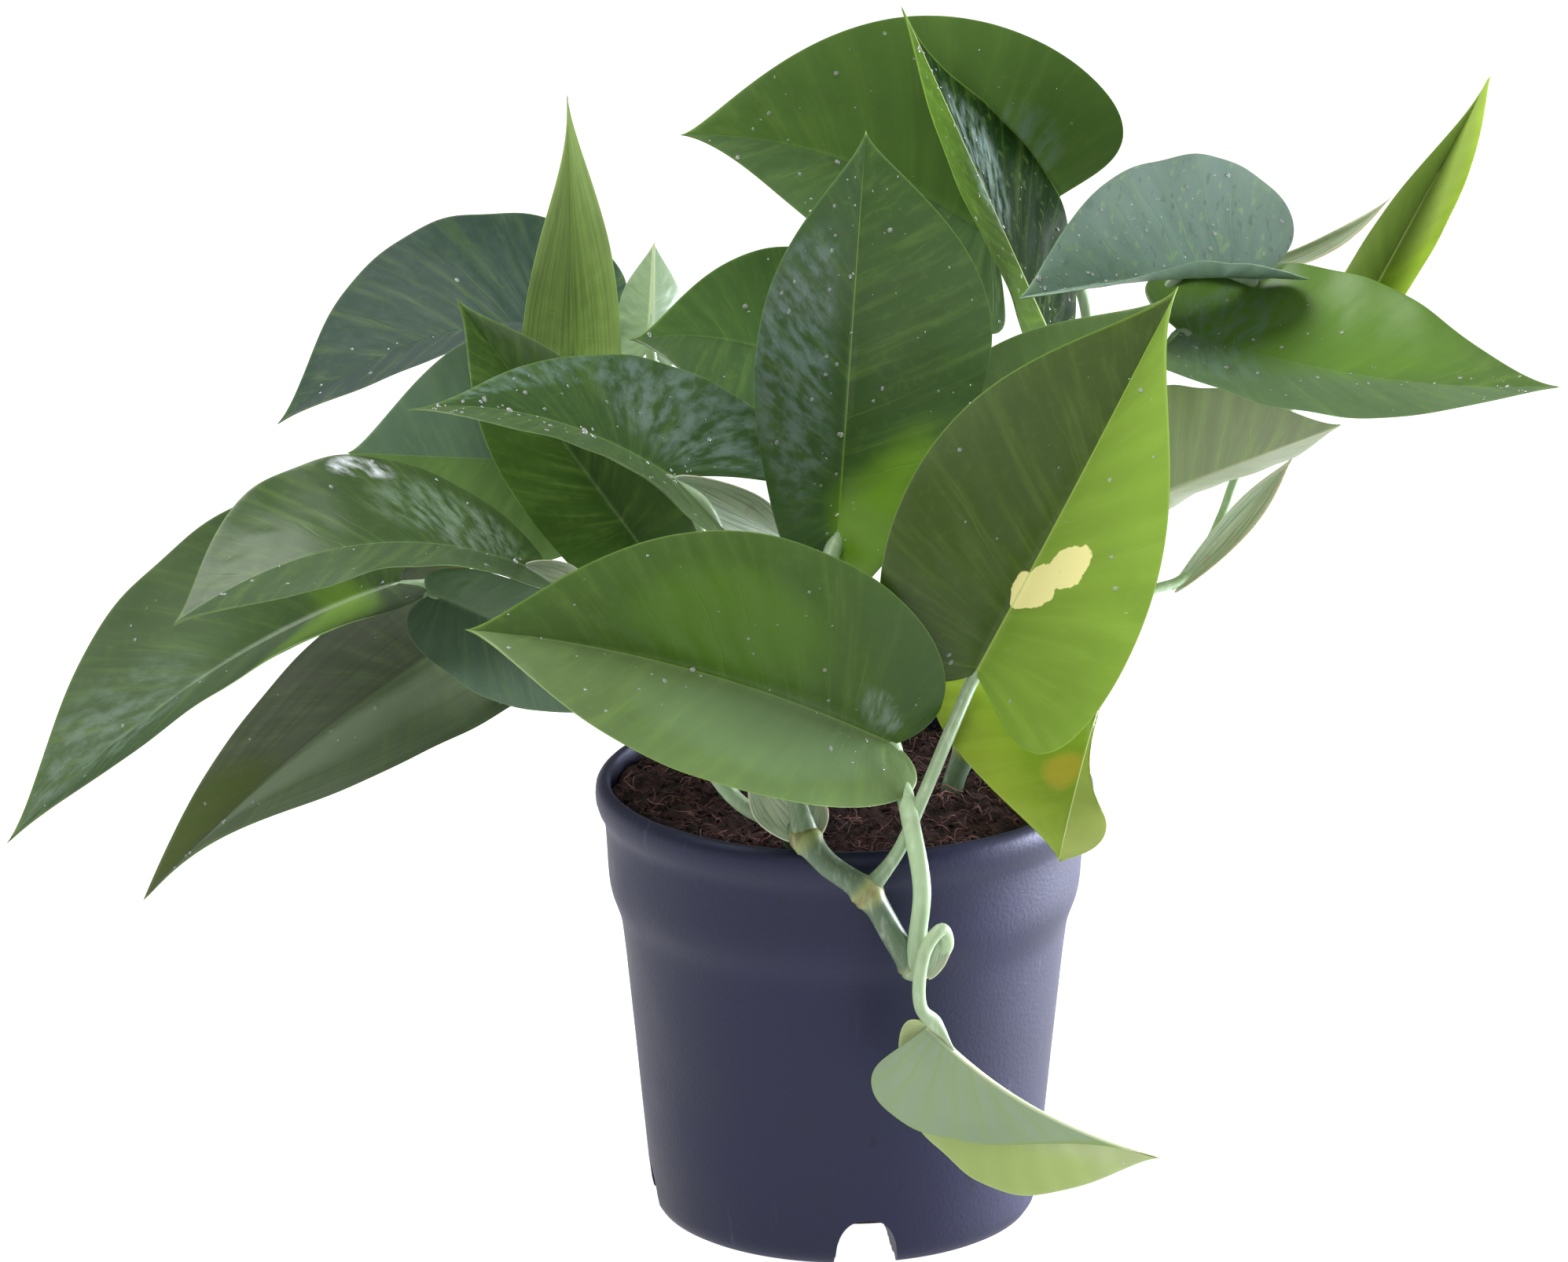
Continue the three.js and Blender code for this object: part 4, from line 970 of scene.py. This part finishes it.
# %% Routes of the stems and petioles
# stem is the route from the root's end, in millimetres. Each petiole has the number of the stem point that it
# grows from, its radius, and the points between there and the joint of the blade that it is named after. Each
# sheath has a base, a tip and the widths of its two halves.
VINES = {
    "front": dict(
        radius=3.3,
        stem=[
            (-13, -47, 88), (-13, -47, 104), (-13, -47, 117), (-13, -54, 122), (-10.4, -66, 122.5),
            (-5, -69.5, 117), (5, -70.5, 109.5), (12, -71, 98), (17.5, -71, 88),
        ],
        petioles={
            "centre": (4, 2.6, [(-13, -62, 135), (-12, -44, 155), (-7, -22, 175)]),
            "left": (3, 2.3, [(-27, -53, 128), (-45, -43, 151), (-66, -34, 174)]),
            "cream": (6, 1.9, [(13, -68, 119.5), (20, -60, 133), (27, -50, 147)]),
            "front": (8, 2.6, [(18, -73, 99), (19, -73.5, 112), (16.5, -68, 126), (14, -54, 133.5)]),
            "hanging": (8, 1.8, [
                (22, -74, 92), (25.5, -77, 98), (24, -81, 103.5), (20.5, -83, 100), (18.5, -82, 91),
                (19, -80, 82),
            ]),
        },
        sheaths=[
            dict(base=(-13, -62, 121.5), tip=(-26, -57, 137), half=(6, 6)),
            dict(base=(-8, -64.5, 122.5), tip=(-8.5, -60, 134), half=(3, 3)),
            dict(base=(21, -77, 89.5), tip=(24, -77, 104), half=(3, 3)),
            dict(base=(-81, -31, 184), tip=(-65, -33, 178.5), half=(4.5, 4.5)),
        ],
    ),
    "left": dict(
        radius=2.9,
        stem=[(-30, -10, 88), (-30, -10, 102), (-30, -10, 116), (-32, -9, 126), (-37, -7, 138)],
        petioles={
            "sheen": (4, 1.9, [(-36, -10, 160), (-32, -17, 184), (-36.5, -22, 198)]),
            "dark": (4, 1.9, [(-42, -4, 152), (-47, -1, 166)]),
            "farleft": (3, 1.9, [(-52, -8, 146), (-78, -8, 164), (-100, -12, 173)]),
            "lowleft": (3, 1.9, [(-48, -8, 134), (-72, -6, 148), (-88, -7, 156)]),
            "under": (3, 1.7, [(-48, -16, 138), (-72, -24, 156), (-92, -30, 171)]),
        },
        sheaths=[
            dict(base=(-42.5, -24, 204.5), tip=(-13, 2, 180), half=(6, 7)),
        ],
    ),
    "back_left": dict(
        radius=2.9,
        stem=[(-22, 24, 88), (-22, 24, 102), (-22, 24, 116), (-25, 27, 130), (-32, 32, 148)],
        petioles={
            "behind": (3, 1.8, [(-38, 26, 155), (-54, 24, 176), (-64, 25, 190)]),
            "spear": (4, 1.8, [(-42, 38, 168), (-58, 44, 192), (-68, 47, 208)]),
            "backleft": (4, 1.8, [(-40, 46, 168), (-52, 66, 194), (-63, 80, 210)]),
            "pale": (4, 1.4, [(-38, 40, 172), (-46, 47, 196)]),
        },
    ),
    "back": dict(
        radius=2.9,
        stem=[(12, 28, 88), (12, 28, 102), (12, 28, 116), (12, 31, 132), (16, 35, 150)],
        petioles={
            "midback": (4, 1.8, [(12, 38, 168), (4, 41, 192), (-1, 41, 208)]),
            "rear_mid": (3, 1.8, [(12, 42, 150), (10, 52, 170)]),
            "rear_right": (3, 1.8, [(20, 40, 150), (32, 48, 168)]),
            "crest": (4, 1.9, [(28, 36, 172), (42, 36, 195), (51, 33, 214)]),
            "top": (4, 1.6, [(34, 44, 172), (54, 54, 198), (64, 60, 220), (60, 64, 236), (50, 64, 243)]),
        },
    ),
    "right": dict(
        radius=2.9,
        stem=[(28, -4, 88), (28, -4, 102), (28, -4, 116), (32, -2, 126), (38, 0, 138)],
        petioles={
            "yellow": (3, 1.8, [(46, -2, 140), (60, -6, 152)]),
            "shade": (4, 1.8, [(39, 2, 155), (38, 3, 170)]),
            "pink": (4, 1.8, [(48, 4, 155), (62, 6, 176)]),
            "gray": (4, 1.6, [(52, 8, 165), (68, 16, 200), (76, 26, 228), (90, 36, 245)]),
            "right": (4, 1.8, [(54, 6, 160), (70, 12, 190), (80, 16, 218)]),
            "upright": (3, 1.4, [
                (56, 6, 142), (78, 20, 161), (88, 25, 163.5), (94.5, 30, 170), (99, 34, 178.5),
                (104, 39, 190), (116, 50, 201), (128, 60, 212),
            ]),
        },
        sheaths=[
            dict(base=(87.5, 24.5, 162), tip=(118, 37, 194), half=(4, 4.5)),
        ],
    ),
}
print("vines:", len(VINES), "petioles:", sum(len(vine["petioles"]) for vine in VINES.values()))


# %% Smooth lines and tubes
def smooth_line(points, per=9):
    """A line through all the points: on each span, a cubic whose end slopes are weighted by the square roots
    of the distances to the points before and after, which keeps it from swinging out at a tight bend."""
    knots = np.array(points, float)
    knots = np.concatenate([2 * knots[:1] - knots[1:2], knots, 2 * knots[-1:] - knots[-2:-1]])
    gaps = np.sqrt(np.maximum(np.linalg.norm(np.diff(knots, axis=0), axis=1), 1e-6))[:, None]
    before, here, there, beyond = knots[:-3], knots[1:-2], knots[2:-1], knots[3:]
    last, gap, following = gaps[:-2], gaps[1:-1], gaps[2:]
    start = ((here - before) / last - (there - before) / (last + gap) + (there - here) / gap) * gap
    end = ((there - here) / gap - (beyond - here) / (gap + following) + (beyond - there) / following) * gap
    t = np.linspace(0, 1, per, endpoint=False)[None, :, None]
    here, there, start, end = (v[:, None] for v in (here, there, start, end))
    line = here + start * t + (3 * (there - here) - 2 * start - end) * t**2
    line = line + (2 * (here - there) + start + end) * t**3
    return np.concatenate([line.reshape(-1, 3), knots[-2:-1]])


def ring_axes(line):
    """Two directions square to the line at each of its points, steady along it: the first is square to both
    the line and the direction that the line as a whole keeps away from most."""
    tangent = unit(np.gradient(line, axis=0))
    away = np.linalg.svd(tangent)[2][-1]
    across = unit(np.cross(tangent, away))
    return across, np.cross(tangent, across)


def tube(line, radius, sides=18):
    """A ring of points round each point of the line, grooved on one side by a tenth, closed by two poles."""
    across, up = ring_axes(line)
    turn = np.linspace(0, 2 * np.pi, sides, endpoint=False)[:, None]
    groove = 1 - 0.1 * np.exp(-(((np.sin(turn) - 1) / 0.25) ** 2))
    circle = np.cos(turn) * across[:, None] + np.sin(turn) * up[:, None]
    body = line[:, None] + (radius[:, None, None] * groove) * circle
    foot, top = (np.repeat(point[None, None], sides, axis=1) for point in (line[0], line[-1]))
    return np.concatenate([foot, body, top])


def gone_share(line):
    """How much of the line's length lies behind each of its points, from 0 to 1, and the whole length."""
    gone = length_gone(line)
    return gone / gone[-1], gone[-1]


# %% Stems and petioles
# How pale each petiole is, from 0 for the dark blue-green of the stems to 1 for the palest yellow-green.
PALE = {
    "front": 0.95, "cream": 0.62, "centre": 0.6, "hanging": 0.8, "upright": 0.75, "gray": 0.5, "sheen": 0.7,
}
USUAL_PALE, CANE_PALE = 0.55, 0.12
RUN_OUT = ((0, 1.0), (4, 0.8), (9, 0.3))  # millimetres past the joint, and depth below the midrib in radii


def stem_tube(stem, radius, nodes):
    """The cane: a steady radius, a swelling 3 mm long and a finer ring at each node, and a rounded end."""
    line = smooth_line(stem)
    share, length = gone_share(line)
    away = np.linalg.norm(line[:, None] - np.array(stem, float)[None, nodes], axis=-1).min(axis=1)
    swell = 1 + 0.3 * np.exp(-((away / 3.2) ** 2)) + 0.1 * np.exp(-(((away - 1.6) / 0.6) ** 2))
    rounding = np.sqrt(np.clip((1 - share) * length / 2.5, 0.05, 1))
    near = np.exp(-((away / 4.5) ** 2))
    return tube(line, radius * swell * rounding), near, CANE_PALE + 0 * near


def petiole_tube(name, start, via, radius):
    """The rod: wide at its sheath, slim in the middle, swollen at the joint, and run out below the midrib."""
    spec = BLADES[name]
    base, tip = np.array(spec["base"], float), np.array(spec["tip"], float)
    along = unit(tip - base + 4 * np.array(spec["bow"], float))
    upward = unit(np.cross(np.cross(along, spec["face"]), along))
    under = [base + ahead * along - deep * radius * upward for ahead, deep in RUN_OUT]
    line = smooth_line([start, *via, *under])
    share, length = gone_share(line)
    joint = 1 - RUN_OUT[-1][0] / length
    width = 0.94 + 0.5 * np.exp(-((share * length / 7) ** 2))
    width = width + 0.22 * np.exp(-(((share - joint) * length / 3) ** 2))
    width *= 1 - 0.78 * ease(share, joint, 1)
    near = 0.55 * np.exp(-((share * length / 5) ** 2))
    pale = PALE.get(name, USUAL_PALE) * (0.55 + 0.45 * ease(share, 0, 0.25))
    return tube(line, radius * width), near, pale


def vine_piece(name, stem, radius, petioles):
    """One vine: its cane and petioles as one mesh, with the nearness of a node and the paleness stored."""
    parts = [stem_tube(stem, radius, sorted({start for start, _, _ in petioles.values()}))]
    for leaf, (start, thick, via) in petioles.items():
        parts.append(petiole_tube(leaf, stem[start], via, thick))
    first = np.cumsum([0] + [part[0].shape[0] * part[0].shape[1] for part in parts[:-1]])
    quads = [net_quads(*part[0].shape[:2], closed=True) + k for part, k in zip(parts, first)]
    spread = [[np.repeat(np.r_[v[0], v, v[-1]], part[0].shape[1]) for v in part[1:]] for part in parts]
    points = np.concatenate([part[0].reshape(-1, 3) for part in parts])
    node, pale = (np.concatenate(v) for v in zip(*spread))
    values, quads = {"node": node, "pale": pale}, np.concatenate(quads)
    return make_piece(f"cane_{name}", points, quads, stem_finish, [f"vine_{name}"], values)


# %% [markdown]
# Stems and petioles are waxy and smooth. The stored paleness runs from the dark blue-green of the cane to the
# yellow-green of a petiole, the nodes turn yellowish with a brown ring, and faint streaks run through it all.

# %% Stem finish
wax = Finish("waxy_stem", Coat_Weight=0.15, Coat_Roughness=0.25, Specular_IOR_Level=0.25)
where, pale, node = wax.place(), wax.stored("pale"), wax.stored("node")
streaks = wax.noise(wax.stretched(where, (1, 1, 0.25)), 520, 3)
cloud = wax.noise(where, 90, 2)
colour = wax.layered(
    srgb(84, 104, 80),
    (wax.ease(pale, 0.05, 0.95), srgb(158, 182, 142)),
    (wax.ease(node, 0.35, 1.0, 0, 0.7), srgb(150, 158, 88)),
    (wax.ease(node, 0.86, 0.99, 0, 0.5), srgb(110, 92, 60)),
    (wax.ease(streaks, 0.45, 0.8, 0, 0.3), srgb(212, 224, 204)),
    (wax.ease(cloud, 0.55, 0.8, 0, 0.25), srgb(96, 92, 66)),
)
wax.bump(streaks, 0.15, 0.0004)
stem_finish = wax.done(colour, wax.ease(cloud, 0.3, 0.7, 0.34, 0.5))
for name, vine in VINES.items():
    piece = vine_piece(name, vine["stem"], vine["radius"], vine["petioles"])
    print(piece.name, len(piece.data.polygons), "faces")

# %% Sheaths
# What all sheaths share: they face the plant's best side, with smooth margins and no lobes.
SHEATH_FORM = dict(bow=(1, 0, 0), face=(0, -0.97, 0.2), fold=8, lobe=(0, 0), belly=(0.5, 0.5))
# A dry one clings to the back of the upright young blade. It is thin as paper, so only this scene has it.
DRY_SHEATHS = {
    "right": [dict(base=(106, 64, 237.6), tip=(144.5, 64, 257.4), bow=(0.5, 0, -4), half=(2.8, 2.4))],
}
# Their nets are coarser than a leaf's, and nearly smooth.
SHEATH_NET = dict(rows=36, columns=17, wave=0.25, relief=0.15)

papery = Finish("papery_sheath", Specular_IOR_Level=0.3, Subsurface_Weight=0.1, Subsurface_Scale=0.002)
along = papery.noise(papery.stretched(papery.uv(), (26, 2.5, 1)), 1.0, 4, 0.6)
spots = papery.noise(papery.place(), 240, 3)
tissue = papery.layered(
    srgb(120, 142, 112),
    (papery.ease(along, 0.3, 0.7), srgb(176, 190, 164)),
    (papery.ease(spots, 0.58, 0.75, 0, 0.5), srgb(150, 132, 116)),
    (papery.ease(papery.stored("edge"), 0.1, 0.6, 0.6, 0), srgb(206, 208, 188)),
)
papery.bump(along, 0.4, 0.0006)
sheath_finish = papery.done(tissue, 0.55)
for name, vine in VINES.items():
    for number, sheath in enumerate(vine.get("sheaths", []) + DRY_SHEATHS.get(name, [])):
        spec = blade(**{**SHEATH_FORM, **sheath})
        title = f"sheath_{name}_{number + 1}"
        piece = blade_piece(title, spec, sheath_finish, "stem", number, **SHEATH_NET)
        print(piece.name, len(piece.data.polygons), "faces")

# %% [markdown]
# ## Water drops
#
# The plant has just been sprayed, so small drops sit on many blades and show as bright specks. They are only
# partly clear: their near-white colour is a painted glint that makes each one a pale speck. Each is a low
# dome on the upper skin, with a few dozen faces. The blade formula gives its place and its normal.

# %% Drops
DROPS = {
    "gray": 150, "centre": 90, "sheen": 90, "crest": 90, "front": 60, "top": 60, "right": 70, "left": 30,
    "farleft": 26, "lowleft": 26, "cream": 22, "hanging": 8, "backleft": 18, "midback": 12, "rear_mid": 20,
    "rear_right": 20,
}
# A fifth of a drop's light is thrown back as from white paint: a painted glint; the rest goes through.
water = Finish("water", Transmission_Weight=0.8, IOR=1.33)
painted_glint_share = water.ease(water.noise(water.place(), 300, 1), 0.3, 0.7)
water_finish = water.done(water.mix(painted_glint_share, (0.94, 0.97, 0.97, 1), (1, 1, 1, 1)), 0.03)
DROP_SIDES, DROP_RISE, DROP_FOOT = 10, 0.55, 0.15  # the last two are shares of a drop's radius
DROP_LIFT = 0.32  # above the middle of the blade's thickness
tilt = np.linspace(0, 1, 5)[:, None] * np.pi / 2
around = np.linspace(0, 2 * np.pi, DROP_SIDES, endpoint=False)
dome = turned(np.cos(tilt), around, DROP_RISE * np.sin(tilt) + 0 * around)
dome = np.concatenate([np.zeros((1, DROP_SIDES, 3)) - [0, 0, DROP_FOOT], dome])
drop_quads = net_quads(*dome.shape[:2], closed=True)
for number, (name, count) in enumerate(DROPS.items()):
    draw = np.random.default_rng(100 + number)
    s, r = draw.uniform(0.08, 0.93, count), draw.uniform(-0.93, 0.93, count)
    points, facing, _ = blade_net(BLADES[name], s, r, seed=list(BLADES).index(name))
    size = 0.22 + 0.5 * draw.uniform(0, 1, count) ** 3
    aside = unit(np.cross(facing, draw.normal(size=(count, 3))))
    axes = np.stack([aside * draw.uniform(0.8, 1.5, (count, 1)), np.cross(facing, aside), facing], axis=1)
    drops = (points + DROP_LIFT * facing)[:, None] + (dome.reshape(-1, 3) @ axes) * size[:, None, None]
    faces = drop_quads[None] + dome.shape[0] * dome.shape[1] * np.arange(count)[:, None, None]
    make_piece(f"drops_{name}", drops, faces.reshape(-1, 4), water_finish)
print("drops:", sum(DROPS.values()))
